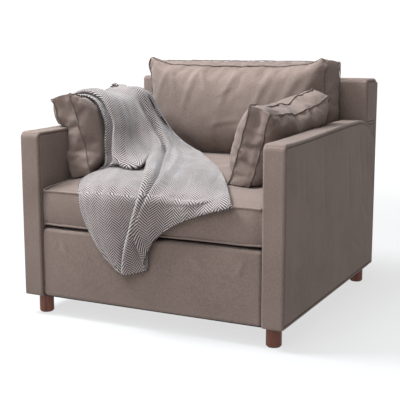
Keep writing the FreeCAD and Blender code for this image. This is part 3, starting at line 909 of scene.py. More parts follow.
class Finishes:
    """Every material of the chair, made once."""

    def __init__(self) -> None:
        """Make the materials."""
        self.cover = BrushedCotton().make()
        self.weave = HerringboneWeave().make()
        self.seam_thread = Thread("seam_thread", (104, 86, 78)).make()
        self.hem_thread = Thread("hem_thread", (38, 34, 36)).make()
        self.lining = CoarseCloth("deck_lining", (120, 108, 100), 900).make()
        self.by_slot = {
            Slot.COVER.value: self.cover,
            Slot.FOAM.value: Foam().make(),
            Slot.FRAME.value: Timber("frame_wood", (206, 172, 126), (164, 122, 78), 0).make(),
            Slot.BOARD.value: CoarseCloth("board", (150, 116, 78), 300).make(),
            Slot.STEEL.value: SpringSteel().make(),
            Slot.WEBBING.value: CoarseCloth("webbing", (150, 128, 98), 500).make(),
            Slot.UNDER.value: CoarseCloth("under_cloth", (34, 32, 32), 800).make(),
            Slot.FOOT.value: Timber("foot_wood", (112, 50, 24), (54, 22, 10), 2, 0.55,
                                    0.12).make(),
            Slot.GLIDE.value: Moulded().make(),
            Slot.THROW.value: self.weave,
        }

    def dress_frame(self) -> None:
        """Give every carried-over node the material of its slot."""
        for entry in frame["record"]["subparts"]:
            mesh = frame["nodes"][entry["node"]].data
            mesh.materials.clear()
            mesh.materials.append(self.by_slot[entry["material_slot"]])


# ---------------------------------------------------------------- stitches

class Stitching:
    """Whip stitches along a path, made by a node tree with named sizes."""

    def __init__(self) -> None:
        """Build the node tree."""
        self.tree = bpy.data.node_groups.new("whip_stitches", "GeometryNodeTree")
        self.sockets: dict[str, str] = {}
        face = self.tree.interface
        for name, kind in (("Path", "Geometry"), ("Pitch", "Float"), ("Thread Radius", "Float"),
                           ("Stitch Length", "Float"), ("Jitter", "Float"), ("Seed", "Int"),
                           ("Thread", "Material")):
            made = face.new_socket(name, in_out="INPUT", socket_type="NodeSocket" + kind)
            self.sockets[name] = made.identifier
        face.new_socket("Stitches", in_out="OUTPUT", socket_type="NodeSocketGeometry")
        self.wire()

    def node(self, kind: str, inputs: dict | None = None, **settings) -> bpy.types.Node:
        """Add a node to the tree.

        Args:
            kind: Its type.
            inputs: Values or sockets for its inputs.
            settings: Its own properties.

        Returns:
            The node.
        """
        made = self.tree.nodes.new(kind)
        for name, value in settings.items():
            setattr(made, name, value)
        for name, value in (inputs or {}).items():
            if isinstance(value, bpy.types.NodeSocket):
                self.tree.links.new(value, made.inputs[name])
            else:
                made.inputs[name].default_value = value
        return made

    def wire(self) -> None:
        """Join the nodes: resample the path, set a stitch on each place, realize them."""
        given = self.node("NodeGroupInput").outputs
        curve = self.node("GeometryNodeMeshToCurve", {"Mesh": given["Path"]}).outputs[0]
        places = self.node("GeometryNodeResampleCurve", {
            "Curve": curve, "Length": given["Pitch"]}, mode="LENGTH").outputs[0]
        bead = self.node("GeometryNodeMeshUVSphere", {
            "Segments": 6, "Rings": 4, "Radius": 1.0}).outputs["Mesh"]
        size = self.node("ShaderNodeCombineXYZ", {
            0: given["Thread Radius"], 1: given["Thread Radius"],
            2: given["Stitch Length"]}).outputs[0]
        stitch = self.node("GeometryNodeTransform", {
            "Geometry": bead, "Scale": size}).outputs[0]
        across = self.node("GeometryNodeInputNamedAttribute", {"Name": "across"},
                           data_type="FLOAT_VECTOR").outputs[0]
        shake = self.node("FunctionNodeRandomValue", {
            0: (-1.0, -1.0, -1.0), 1: (1.0, 1.0, 1.0), "Seed": given["Seed"]},
            data_type="FLOAT_VECTOR").outputs[0]
        shake = self.node("ShaderNodeVectorMath", {0: shake, "Scale": given["Jitter"]},
                          operation="SCALE").outputs[0]
        way = self.node("ShaderNodeVectorMath", {0: across, 1: shake},
                        operation="ADD").outputs[0]
        turn = self.node("FunctionNodeAlignRotationToVector", {"Vector": way},
                         axis="Z").outputs[0]
        set_on = self.node("GeometryNodeInstanceOnPoints", {
            "Points": places, "Instance": stitch, "Rotation": turn}).outputs[0]
        real = self.node("GeometryNodeRealizeInstances", {"Geometry": set_on}).outputs[0]
        dressed = self.node("GeometryNodeSetMaterial", {
            "Geometry": real, "Material": given["Thread"]}).outputs[0]
        self.node("NodeGroupOutput", {"Stitches": dressed})

    def sew(self, name: str, path: Array, across: Array, thread: bpy.types.Material,
            sizes: dict[str, float], closed: bool = True) -> bpy.types.Object:
        """Sew stitches along a path.

        Args:
            name: Name of the piece.
            path: Points of the path in order.
            across: Direction of the stitch at each point.
            thread: Material of the thread.
            sizes: Values for the tree's named inputs.
            closed: Whether the path joins its own start.

        Returns:
            The stitches as a plain mesh object.
        """
        count = len(path)
        edges = [(n, (n + 1) % count) for n in range(count if closed else count - 1)]
        mesh = bpy.data.meshes.new(name + "_path")
        mesh.from_pydata(path.tolist(), edges, [])
        layer = mesh.attributes.new("across", "FLOAT_VECTOR", "POINT")
        layer.data.foreach_set("vector", np.ascontiguousarray(across, np.float32).ravel())
        work = bpy.data.objects.new(name + "_path", mesh)
        bpy.context.scene.collection.objects.link(work)
        modifier = work.modifiers.new("stitches", "NODES")
        modifier.node_group = self.tree
        modifier[self.sockets["Thread"]] = thread
        for socket, value in sizes.items():
            modifier[self.sockets[socket]] = value
        graph = bpy.context.evaluated_depsgraph_get()
        plain = bpy.data.meshes.new_from_object(
            work.evaluated_get(graph), preserve_all_data_layers=True, depsgraph=graph)
        plain.name = name
        bpy.data.objects.remove(work)
        bpy.data.meshes.remove(mesh)
        made = bpy.data.objects.new(name, plain)
        bpy.context.scene.collection.objects.link(made)
        return made


# ---------------------------------------------------------------- fitting to the frame

def settle(piece: bpy.types.Object, body: str, slot: Slot, *stands_for: str) -> bpy.types.Object:
    """Put a finished piece on its body and hide the nodes that it stands for.

    Args:
        piece: The piece.
        body: The body that it rides on.
        slot: The material slot that it takes its finish from; not used.
        stands_for: The nodes that it replaces.

    Returns:
        The piece.
    """
    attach(piece, body)
    if stands_for:
        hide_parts(*stands_for)
    LOG.info("%s: %d faces on %s", piece.name, len(piece.data.polygons), body)
    return piece


def soften(piece: bpy.types.Object, levels: int = 1) -> None:
    """Finish a piece with a subdivision surface."""
    modifier = piece.modifiers.new("soft", "SUBSURF")
    modifier.levels = modifier.render_levels = levels


# ---------------------------------------------------------------- the fixed upholstery

SEAM_LINES = tuple(v * MM for v in (2, 4, 6, 8, 9.5, 11, 12.5, 14.5, 18, 23, 30))


@dataclass
class ArmUpholstery:
    """One arm: a band over the front and top, sewn to an inner and an outer panel.

    Args:
        side: -1 for the left arm and +1 for the right.
        name: left or right.
        edge: Radius of the band's edges.
        seam: Distance of the seams from the edge.
        step: Spacing of the cover's points.
        rise: How far the top rises towards the rear.
        crest: Length of the rounded end at the rear.
        creases: Folds of the outer panel, in y and z.
    """

    side: int
    name: str
    edge: float = 0.007
    seam: float = 0.011
    step: float = 0.009
    rise: float = 0.016
    crest: float = 0.221
    creases: list[Crease] = field(default_factory=list)

    def shape(self) -> BoxSkin:
        """The arm's cover as a closed skin.

        Returns:
            The cover.
        """
        low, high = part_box("arm_outer_cover_" + self.name)
        inner, outer = sorted((self.side * ARM_INNER, high.x if self.side > 0 else low.x))
        skin = BoxSkin(grid_lines(inner, outer, self.step, SEAM_LINES[:5]),
                       grid_lines(low.y, high.y, self.step, SEAM_LINES),
                       grid_lines(low.z, high.z, self.step, SEAM_LINES))
        skin.round_edges(self.edge)
        skin.groove(0, self.seam, 0.0028, 0.0014)
        middle = ease(skin.from_border(0), 0.012, 0.06)
        face = skin.on_face(0, 0) | skin.on_face(0, -1)
        skin.swell(np.where(face, 0.0012 * middle, 0))
        skin.round_corner((1, 2), (-1, 1), 0.022)
        skin.round_corner((1, 2), (1, -1), 0.025)
        rest = skin.rest
        y, level = rest[:, 1], np.clip((rest[:, 2] - high.z + 0.25) / 0.25, 0, 1)
        round_end = np.clip((y - high.y + self.crest) / self.crest, 0, 1)
        drop = 0.14 * (1 - np.sqrt(1 - 0.97 * round_end ** 2))
        skin.points[:, 2] += (self.rise * ease(y, -0.45, 0.25) - drop) * level
        drape = soft_noise(rest, (1, 0.045, 0.34), 11 + self.side)
        lean = soft_noise(rest + rest[:, [2, 2, 1]] * mm(0, 300, 200), (1, 0.03, 0.22), 5)
        ripple = 0.00035 * drape + 0.0003 * lean
        skin.swell(np.where(face, ripple * middle, 0.0004 * drape))
        # Painted shade and highlight that follow the drape waves of the side panels.
        skin.paint("fold", np.where(face, drape * middle * 0.03, 0))
        outer_face = skin.on_face(0, -1 if self.side > 0 else 0)
        fold_in(skin, rest[:, 1:], outer_face * middle, self.creases)
        return skin

    def make(self, finishes: Finishes) -> bpy.types.Object:
        """Build the arm's upholstery and put it on the chair.

        Args:
            finishes: The chair's finishes.

        Returns:
            The arm's upholstery.
        """
        piece = self.shape().build("arm_upholstery_" + self.name, finishes.cover)
        settle(piece, "chair", Slot.COVER, *("arm_%s_%s" % (part, self.name) for part in (
            "inner_cover", "outer_cover", "band_cover", "inner_pad", "outer_pad", "edge_pad")))
        return piece


@dataclass
class Panel:
    """A flat padded panel with rounded edges and a seam near its border.

    Args:
        name: Name of the piece.
        low: Its lowest corner.
        high: Its highest corner.
        across: Index of the axis across its two faces.
        stands_for: The nodes that it replaces.
        edge: Radius of its edges.
        seam: Distance of the seam from the border, or 0 for none.
        puff: How far its middle stands out.
        ripple: Height of the waves in the cover.
        step: Spacing of the cover's points.
        corner: Radius of its top rear edge.
        creases: Folds, in the plane of its faces.
    """

    name: str
    low: tuple[float, float, float]
    high: tuple[float, float, float]
    across: int
    stands_for: tuple[str, ...]
    edge: float = 0.008
    seam: float = 0.011
    puff: float = 0.002
    ripple: float = 0.0008
    step: float = 0.010
    corner: float = 0.0
    creases: list[Crease] = field(default_factory=list)

    def shape(self) -> BoxSkin:
        """The panel's cover as a closed skin.

        Returns:
            The cover.
        """
        lines = []
        for low, high in zip(self.low, self.high):
            room = [v for v in SEAM_LINES if v < (high - low) * 0.45]
            lines.append(grid_lines(low, high, self.step, tuple(room)))
        skin = BoxSkin(*lines)
        skin.round_edges(min(self.edge, 0.49 * (np.array(self.high) - self.low).min()))
        if self.seam:
            skin.groove(self.across, self.seam, 0.0028, 0.0014)
        face = skin.on_face(self.across, 0) | skin.on_face(self.across, -1)
        middle = ease(skin.from_border(self.across), 0.012, 0.08) * face
        wave = soft_noise(skin.rest, (0.07, 0.07, 0.2), len(self.name))
        skin.swell(self.puff * middle + self.ripple * wave * (0.3 + 0.7 * middle))
        # Painted shade and highlight that follow the waves of the cover.
        skin.paint("fold", wave * middle * 0.1)
        if self.corner:
            skin.round_corner((1, 2), (1, 1), self.corner)
            skin.round_corner((1, 2), (-1, 1), self.corner * 0.55)
        flat = skin.rest[:, [n for n in range(3) if n != self.across]]
        fold_in(skin, flat, middle, self.creases)
        return skin

    def make(self, finishes: Finishes, cloth: bpy.types.Material | None = None,
             fill: float = 0.9) -> bpy.types.Object:
        """Build the panel and put it on the chair.

        Args:
            finishes: The chair's materials.
            cloth: Its cloth, if it isn't the cover cloth.
            fill: How firm it is; not used.

        Returns:
            The piece.
        """
        piece = self.shape().build(self.name, cloth or finishes.cover)
        settle(piece, "chair", Slot.COVER, *self.stands_for)
        return piece


def fixed_upholstery() -> list[Panel]:
    """The chair's panels, sized from the nodes that they stand for.

    Returns:
        The panels, in the order that they are built.
    """
    rail_low, rail_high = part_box("front_rail_cover")
    rim_low, rim_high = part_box("back_rim_cover")
    front_low, front_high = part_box("back_front_cover")
    rear_low, rear_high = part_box("outside_back_cover")
    deck_low, deck_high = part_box("deck_pad")
    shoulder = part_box("arm_band_cover_right")[1].z + 0.004
    return [
        Panel("front_rail_upholstery", (rail_low.x, rail_low.y, rail_low.z),
              (rail_high.x, rail_high.y, rail_high.z), 1,
              ("front_rail_cover", "front_rail_pad"), edge=0.013, seam=0, puff=0.0025,
              creases=[
                  Crease((-0.372, 0.296), (-0.345, 0.235), 0.0027, 0.006),
                  Crease((-0.345, 0.298), (-0.300, 0.215), 0.0033, 0.007),
                  Crease((-0.300, 0.300), (-0.262, 0.262), 0.0018, 0.006),
                  Crease((0.352, 0.290), (0.322, 0.215), 0.0027, 0.007),
                  Crease((0.310, 0.296), (0.292, 0.250), 0.0018, 0.006),
                  Crease((0.150, 0.290), (0.215, 0.210), 0.0014, 0.012),
                  Crease((-0.120, 0.100), (-0.020, 0.082), 0.0012, 0.012)]),
        Panel("back_slab_upholstery", (rim_low.x, front_low.y + 0.005, shoulder - 0.012),
              (rim_high.x, rim_high.y, rim_high.z), 0, ("back_rim_cover", "back_rim_pad"),
              edge=0.009, seam=0.011, puff=0.001, corner=0.028),
        Panel("back_inner_upholstery", (front_low.x + 0.075, front_low.y, 0.318),
              (front_high.x - 0.075, front_low.y + 0.034, shoulder + 0.006), 1,
              ("back_front_cover", "back_pad"), seam=0, puff=0.001),
        Panel("outside_back_upholstery", (rear_low.x, rear_low.y - 0.024, rear_low.z),
              (rear_high.x, rear_high.y, rear_high.z - 0.014), 1,
              ("outside_back_cover", "outside_back_pad"), edge=0.006, seam=0.012,
              puff=0.0, ripple=0.0007, step=0.012, creases=[
                  Crease((-0.300, 0.700), (-0.250, 0.480), 0.0010, 0.012),
                  Crease((0.250, 0.720), (0.310, 0.520), 0.0010, 0.012),
                  Crease((0.050, 0.300), (0.120, 0.120), 0.0008, 0.012)]),
        *(Panel("back_corner_upholstery_" + name, (inner, front_low.y + 0.020, 0.300),
                (outer, rear_low.y + 0.002, shoulder - 0.008), 0, (), edge=0.012, seam=0,
                puff=0.001) for name, inner, outer in (("left", -0.477, -0.400),
                                                       ("right", 0.400, 0.477))),
        Panel("deck_upholstery", (deck_low.x, deck_low.y, deck_low.z),
              (deck_high.x, deck_high.y, deck_high.z), 2, ("deck_pad",), edge=0.008,
              seam=0.030, puff=0.0, ripple=0.0010, step=0.013),
    ]


# ---------------------------------------------------------------- seat cushion

def seat_line(y: Array) -> Array:
    """Height of the seat cushion's top seam at a distance back."""
    part = (np.asarray(y) + 0.472) / 0.817
    return 0.439 + 0.061 * part


def seat_top(x: Array, y: Array) -> Array:
    """Height of the seat cushion's crowned top.

    Args:
        x: Places across the cushion.
        y: Places from its front to its rear.

    Returns:
        One height for each place.
    """
    part = np.clip((np.asarray(y) + 0.472) / 0.817, 0, 1)
    rise = 0.034 * (4 * part * (1 - part)) ** 0.8
    side = 1 - np.clip(np.abs(np.asarray(x)) / 0.404, 0, 1) ** 10
    pressed = ease(np.abs(np.asarray(x)), 0.1, 0.22) * ease(y, -0.37, -0.27)
    pressed *= 1 - ease(y, 0.14, 0.24)
    return seat_line(y) + rise * side - 0.014 * pressed * side


@dataclass
class SeatCushion:
    """The loose seat cushion: boxed, with a welt round its top and bottom.

    Args:
        half: Half of its width.
        front: How far forward it reaches.
        rear: How far back it reaches.
        low: Height of its underside.
        step: Spacing of its points.
        welt: Radius of the welts.
        swell: How far the boxing stands out between the welts.
        droop: How far the front edge sinks over the rail.
        creases: Folds of the top, in x and y.
    """

    half: float = 0.404
    front: float = 0.470
    rear: float = 0.345
    low: float = 0.332
    step: float = 0.012
    welt: float = 0.0042
    swell: float = 0.011
    droop: float = 0.017
    creases: list[Crease] = field(default_factory=list)

    def shape(self) -> BoxSkin:
        """The cushion's cover as a closed skin.

        Returns:
            The cover.
        """
        ends = tuple(v * MM for v in (3, 6, 10, 15, 22, 30, 40))
        skin = BoxSkin(grid_lines(-self.half, self.half, self.step, ends),
                       grid_lines(-self.front, self.rear, self.step, ends),
                       grid_lines(0, 1, 1 / 11, (0.02, 0.05, 0.1)))
        x, y, level = skin.points.T.copy()
        droop = self.droop * (1 - ease(y, -self.front + 0.01, -self.front + 0.07))
        seam_low = self.low + 0.006 - droop
        seam_high = seat_line(y)
        z = seam_low + level * (seam_high - seam_low)
        top, bottom = skin.on_face(2, -1), skin.on_face(2, 0)
        z = np.where(top, seat_top(x, y) * 1.0, z)
        z = np.where(bottom, self.low - droop + 0.006 * (1 - ease(skin.from_border(2), 0, 0.03)),
                     z)
        z = np.where(top & (skin.from_border(2) <= 0), seam_high, z)
        puffed = self.swell * (4 * level * (1 - level)) ** 0.7
        side = ~(top | bottom)
        y = np.where(side & skin.on_face(1, 0), y + 0.006 - puffed * 0.8, y + 0)
        y = np.where((top | bottom) & skin.on_face(1, 0), y + 0.006, y)
        pull = 0.006 * bell(np.abs(skin.rest[:, 0]) - self.half, 0.02)
        y = np.where(skin.on_face(1, 0) & side, y + pull, y)
        x = np.where(skin.on_face(0, 0), x + 0.003 - 0.003 * (puffed / self.swell), x)
        x = np.where(skin.on_face(0, -1), x - 0.003 + 0.003 * (puffed / self.swell), x)
        skin.points = np.stack([x, y, z], 1)
        edge = (1 - ease(skin.from_border(2), 0.0, 0.022)) * top
        skin.points[:, 2] -= 0.004 * edge * bell(skin.from_border(2) - 0.008, 0.008)
        wave = soft_noise(skin.rest * np.array([1, 1, 0.1]), (0.12, 0.16, 1), 21)
        slow = soft_noise(skin.rest * np.array([1, 1, 0.1]), (0.3, 0.26, 1), 22)
        inner = ease(skin.from_border(2), 0.0, 0.08)
        skin.points[:, 2] += np.where(top, (0.0016 * wave + 0.003 * slow) * inner, 0)
        # Painted shade and highlight that follow the waves of the top.
        skin.paint("fold", np.where(top, wave * inner * 0.1, 0))
        fold_in(skin, skin.rest[:, :2], top * ease(skin.from_border(2), 0.0, 0.02),
                self.creases)
        boxing = side & skin.on_face(1, 0)
        ripple = soft_noise(skin.rest, (0.05, 1, 0.9), 31) + soft_noise(
            skin.rest, (0.16, 1, 1.4), 32)
        skin.points[:, 1] += np.where(boxing, 0.0013 * ripple, 0)
        # Painted shade and highlight that follow the ripples of the front boxing.
        skin.paint("fold", np.where(boxing, -ripple * 0.08, 0))
        return skin

    def make(self, finishes: Finishes) -> None:
        """Build the cushion and its welts and put them on their body.

        Args:
            finishes: The chair's finishes.
        """
        skin = self.shape()
        away = skin.normals()
        welts = []
        for end in (-1, 0):
            rim = skin.rim(2, end)
            out = smooth_ring(away[rim], 2)
            path = smooth_ring(skin.points[rim], 1) + out * self.welt * 0.55
            welts.append(tube_along(path, self.welt, 8, out))
        # Painted shade along the top and bottom seams.
        skin.paint("seam", np.zeros(len(skin.points)))
        for end in (-1, 0):
            near = skin.rim(2, end)
            skin.marks["seam"][near] = 0.5
        piece = skin.build("seat_cushion_soft", finishes.cover)
        soften(piece)
        settle(piece, "seat_cushion", Slot.COVER, "seat_cushion_foam", "seat_cushion_cover")
        cords = joined(*welts)
        # Painted highlight: the welts are lightened all over.
        cords.paint("fold", np.full(len(cords.points), 0.25))
        settle(cords.build("seat_cushion_welts", finishes.cover), "seat_cushion", Slot.COVER)


# ---------------------------------------------------------------- sewn pillows and cushions

@dataclass
class SergedSeam:
    """A seam sewn on the outside: a small standing lip wrapped in thread.

    Args:
        lip: Radius of the lip.
        pitch: Distance between stitches.
        thread: Radius of the thread.
        wander: How far the lip strays from its line.
    """

    lip: float = 0.0018
    pitch: float = 0.0062
    thread: float = 0.0007
    wander: float = 0.0016

    def sew(self, name: str, skin: Skin, rims: list[Array], finishes: Finishes,
            stitching: Stitching, body: str) -> None:
        """Sew the seams of a cover.

        Args:
            name: Name of the piece that the seams belong to.
            skin: Its skin.
            rims: The seams' point numbers in order.
            finishes: The chair's materials.
            stitching: The stitch maker.
            body: The body that they ride on.
        """
        away = skin.normals()
        lips = []
        for number, rim in enumerate(rims):
            out = smooth_ring(away[rim], 2)
            out /= np.linalg.norm(out, axis=1, keepdims=True)
            path = skin.points[rim]
            ahead = np.roll(path, -1, 0) - np.roll(path, 1, 0)
            ahead /= np.linalg.norm(ahead, axis=1, keepdims=True)
            across = np.cross(ahead, out)
            stray = soft_noise(path, 0.021, 40 + number) + 0.6 * soft_noise(path, 0.009, 50)
            path = path + out * self.lip * 0.9 + across * (self.wander * stray)[:, None]
            lips.append(tube_along(path, self.lip, 6, out))
            stitches = stitching.sew("%s_stitches_%d" % (name, number + 1), path, across
                                     + ahead * 0.55, finishes.seam_thread, {
                "Pitch": self.pitch, "Thread Radius": self.thread,
                "Stitch Length": self.lip * 1.35, "Jitter": 0.35, "Seed": 7 + number})
            for polygon in stitches.data.polygons:
                polygon.use_smooth = True
            settle(stitches, body, Slot.COVER)
        lip = joined(*lips)
        # Painted shade on the seam lips.
        lip.paint("seam", np.full(len(lip.points), 0.45))
        settle(lip.build(name + "_seam_lips", finishes.cover), body, Slot.COVER)


@dataclass
class BackCushion:
    """The loose back cushion: feather-filled, with a serged seam round its front face.

    Args:
        half: Half of its width.
        low: Height of its underside.
        top: Height of its top seam.
        low_front: Front of its underside.
        top_front: Front of its top.
        low_rear: Rear of its underside.
        top_rear: Rear of its top.
        corner: Radius of its top corners.
        step: Spacing of its points.
        stuffing: How it is filled.
        creases: Folds of its front, in x and z.
    """

    half: float = 0.376
    low: float = 0.516
    top: float = 0.889
    low_front: float = 0.206
    top_front: float = 0.218
    low_rear: float = 0.336
    top_rear: float = 0.318
    corner: float = 0.034
    step: float = 0.0095
    stuffing: Stuffing = Stuffing(pressure=5.0, frames=24, slack=0.035, gather=0.035,
                                  reach=0.058, bending=0.25)
    creases: list[Crease] = field(default_factory=list)

    def shape(self) -> BoxSkin:
        """The filled cushion as a closed skin.

        Returns:
            The filled cover.
        """
        ends = (0.005, 0.011, 0.018)
        skin = BoxSkin(grid_lines(-self.half, self.half, self.step, ends),
                       grid_lines(0, 1, 1 / 12, (0.04, 0.1)),
                       grid_lines(0, 1, self.step / (self.top - self.low), (0.015, 0.035)))
        x, deep, level = skin.points.T.copy()
        front = self.low_front + level * (self.top_front - self.low_front)
        rear = self.low_rear + level * (self.top_rear - self.low_rear)
        y = front + deep * (rear - front)
        z = self.low + level * (self.top - self.low - 0.026 * deep * level)
        round_x = np.maximum(np.abs(x) - self.half + self.corner, 0)
        round_z = np.maximum(z - self.top + self.corner, 0)
        length = np.maximum(np.hypot(round_x, round_z), 1e-9)
        pull = np.where((round_x > 0) & (round_z > 0),
                        np.maximum(round_x, round_z) / length - 1, 0)
        x = x + np.sign(x) * round_x * pull
        z = z + round_z * pull
        skin.points = np.stack([x, y, z], 1)
        skin.points += 0.0012 * np.stack([soft_noise(skin.points, 0.03, s) for s in (1, 2, 3)],
                                         1)
        front_seam, rear_seam = skin.rim(1, 0), skin.rim(1, -1)
        seams = np.zeros(len(skin.points))
        seams[front_seam] = seams[rear_seam] = 1
        pulled = soft_noise(skin.points[front_seam] * np.array([1, 0, 0]), 0.055, 4)
        seams[front_seam] = 0.6 + 0.4 * np.clip(pulled * 1.6, 0, 1)
        held = np.where(skin.on_face(1, -1), 0.85, 0)
        held = np.maximum(held, np.where(skin.on_face(2, 0), 0.6, 0))
        self.stuffing.fill(skin, seams, held)
        return skin

    def drape(self, skin: BoxSkin) -> None:
        """Add the pinches and creases and let the cushion rest against its neighbours.

        Args:
            skin: The cover, which is changed.
        """
        level = skin.rest[:, 2]
        skin.points[:, 0] *= 1 + 0.026 * level
        front = skin.on_face(1, 0)
        y = skin.points[:, 1]
        sag = 0.012 * bell(level - 0.36, 0.3) * (1 - (skin.rest[:, 0] / self.half) ** 4)
        skin.points[:, 1] = np.where(front, y - sag, y)
        fold_in(skin, skin.points[:, [0, 2]], front * ease(1 - level, 0.0, 0.06),
                self.creases)
        x = skin.rest[:, 0]
        dips = np.zeros(len(x))
        for place, depth in ((-0.262, 1), (-0.135, 0.7), (0.028, 0.8), (0.176, 0.7), (0.27, 0.5)):
            dips += depth * bell(x - place, 0.016)
        near_top = front * bell(1 - level, 0.05)
        skin.points[:, 2] -= 0.0045 * dips * np.maximum(near_top, skin.on_face(2, -1) * bell(
            skin.rest[:, 1], 0.18))
        skin.points[:, 1] += 0.004 * dips * near_top
        wrinkle = soft_noise(skin.points @ np.array([[1, 0, 0.55], [0, 1, 0], [-0.5, 0, 1]]),
                             (0.024, 1, 0.13), 17)
        skin.swell(0.0016 * wrinkle * front * (0.35 + 0.65 * level))
        # Painted shade and highlight that follow the wrinkles of the front.
        skin.paint("fold", wrinkle * front * 0.12)
        skin.points[:, 1] = np.minimum(skin.points[:, 1], 0.348)
        skin.points[:, 2] = np.maximum(skin.points[:, 2], 0.513)
        skin.points[:, 2] = np.minimum(skin.points[:, 2], 0.897)

    def make(self, finishes: Finishes, stitching: Stitching) -> None:
        """Build the cushion and its seams and put them on their body.

        Args:
            finishes: The chair's finishes.
            stitching: The maker of the stitches.
        """
        skin = self.shape()
        self.drape(skin)
        rims = [skin.rim(1, 0), skin.rim(1, -1)]
        # Painted shade along the front and rear seams.
        for rim in rims:
            near = np.zeros(len(skin.points))
            near[rim] = 0.35
            skin.paint("seam", near)
        piece = skin.build("back_cushion_soft", finishes.cover)
        soften(piece)
        settle(piece, "back_cushion", Slot.COVER, "back_cushion_fill", "back_cushion_cover")
        SergedSeam(lip=0.0017, wander=0.0018).sew("back_cushion", skin, rims, finishes,
                                                  stitching, "back_cushion")


@dataclass
class TossPillow:
    """A boxed feather pillow that leans on an arm, with serged seams.

    Args:
        name: left or right.
        corner: Place of its lower front corner on the seat side.
        lean: Lean against the arm, in degrees.
        turn: Turn about the vertical, in degrees.
        rise: Rise towards the rear, in degrees.
        near: +1 where its thickness runs to +x, -1 where it runs to -x.
        sag: How far its top edge is weighed down.
        plump: How much further its open face stands out.
        length: Length from front to rear.
        height: Height.
        box: Width of the boxing.
        step: Spacing of its points.
        stuffing: How it is filled.
    """

    name: str
    corner: tuple[float, float, float]
    lean: float
    turn: float
    rise: float
    near: int
    sag: float = 0.0
    plump: float = 0.0
    length: float = 0.402
    height: float = 0.296
    box: float = 0.074
    step: float = 0.0085
    stuffing: Stuffing = Stuffing(pressure=5.0, frames=22, slack=0.042, gather=0.0,
                                  reach=0.05, bending=0.8)

    def placed(self, points: Array) -> Array:
        """Points of the pillow's own frame, moved to their place on the seat."""
        turn = (Euler((0, 0, math.radians(self.turn))).to_matrix()
                @ Euler((math.radians(self.rise), 0, 0)).to_matrix()
                @ Euler((0, math.radians(self.lean), 0)).to_matrix())
        return points @ np.array(turn).T + np.array(self.corner)

    def shape(self) -> BoxSkin:
        """The filled pillow as a closed skin, in its own frame.

        Returns:
            The filled cover.
        """
        ends = (0.004, 0.009, 0.015)
        side = sorted((0, self.near * self.box))
        skin = BoxSkin(grid_lines(side[0], side[1], self.step, (0.004,)),
                       grid_lines(0.003, 0.003 + self.length, self.step, ends),
                       grid_lines(0.003, 0.003 + self.height, self.step, ends))
        skin.points += 0.0012 * np.stack([soft_noise(skin.points, 0.028, s) for s in (5, 6, 7)],
                                         1)
        seams = np.zeros(len(skin.points))
        for end in (0, -1):
            seams[skin.rim(0, end)] = 1
        held = np.zeros(len(skin.points))
        self.stuffing.fill(skin, seams, held)
        return skin

    def crumple(self, skin: BoxSkin) -> None:
        """Pinch the boxing, weigh the top down and add fine wrinkles.

        Args:
            skin: The cover, which is changed.
        """
        part, level = skin.rest[:, 1] / self.length, skin.rest[:, 2] / self.height
        middle = self.near * self.box / 2
        front = skin.on_face(1, 0)
        pinch = bell(skin.rest[:, 0] - middle, 0.02) * bell(level - 0.86, 0.16) * front
        skin.points[:, 1] += 0.020 * pinch
        second = bell(skin.rest[:, 0] - middle, 0.016) * bell(level - 0.45, 0.12) * front
        skin.points[:, 1] += 0.006 * second
        weight = ease(part, 0.04, 0.3) * (1 - ease(part, 0.75, 1.0)) * ease(level, 0.4, 1.0)
        skin.points[:, 2] -= self.sag * weight
        open_face = skin.on_face(0, 0 if self.near > 0 else -1)
        round_part = np.clip(16 * part * (1 - part) * level * (1 - level), 0, 1) ** 0.7
        skin.points[:, 0] -= np.where(open_face, self.near * self.plump * round_part, 0)
        wrinkle = soft_noise(skin.points + np.array([0, 0, 0.3]) * part[:, None],
                             (0.03, 0.022, 0.09), 23)
        skin.swell(0.0018 * wrinkle)
        # Painted shade and highlight that follow the wrinkles.
        skin.paint("fold", wrinkle * 0.14)

    def rest_on_chair(self, skin: Skin) -> None:
        """Place the pillow and flatten it against the seat and the arm.

        Args:
            skin: The cover, which is changed.
        """
        skin.points = self.placed(skin.points)
        x, y = skin.points[:, 0], skin.points[:, 1]
        limit = ARM_INNER - 0.0035
        skin.points[:, 0] = np.where(skin.points[:, 2] < 0.645, np.clip(x, -limit, limit), x)
        floor = seat_top(skin.points[:, 0], y) + 0.004
        skin.points[:, 2] = np.maximum(skin.points[:, 2], floor)

    def make(self, finishes: Finishes, stitching: Stitching) -> None:
        """Build the pillow and its seams and put them on their body.

        Args:
            finishes: The chair's finishes.
            stitching: The maker of the stitches.
        """
        skin = self.shape()
        self.crumple(skin)
        self.rest_on_chair(skin)
        body = "pillow_" + self.name
        piece = skin.build(body + "_soft", finishes.cover)
        soften(piece)
        settle(piece, body, Slot.COVER, body + "_insert", body + "_cover")
        SergedSeam().sew(body, skin, [skin.rim(0, 0), skin.rim(0, -1)], finishes, stitching,
                         body)


# ---------------------------------------------------------------- throw

def surface_tree(piece: bpy.types.Object) -> BVHTree:
    """A search tree of a piece's finished surface."""
    graph = bpy.context.evaluated_depsgraph_get()
    return BVHTree.FromObject(piece, graph)


def through(knots: Array, count: int) -> Array:
    """A smooth curve through knots along the first axis.

    Args:
        knots: Rows of values that the curve passes through.
        count: Number of points between two knots.

    Returns:
        The points of the curve, both ends included.
    """
    padded = np.concatenate([2 * knots[:1] - knots[1:2], knots, 2 * knots[-1:] - knots[-2:-1]])
    part = np.linspace(0, 1, count, endpoint=False)
    weights = np.stack([-part + 2 * part ** 2 - part ** 3, 2 - 5 * part ** 2 + 3 * part ** 3,
                        part + 4 * part ** 2 - 3 * part ** 3, part ** 3 - part ** 2], 1) / 2
    pieces = []
    for n in range(len(knots) - 1):
        pieces.append(np.tensordot(weights, padded[n:n + 4], (1, 0)))
    return np.concatenate(pieces + [knots[-1:]])


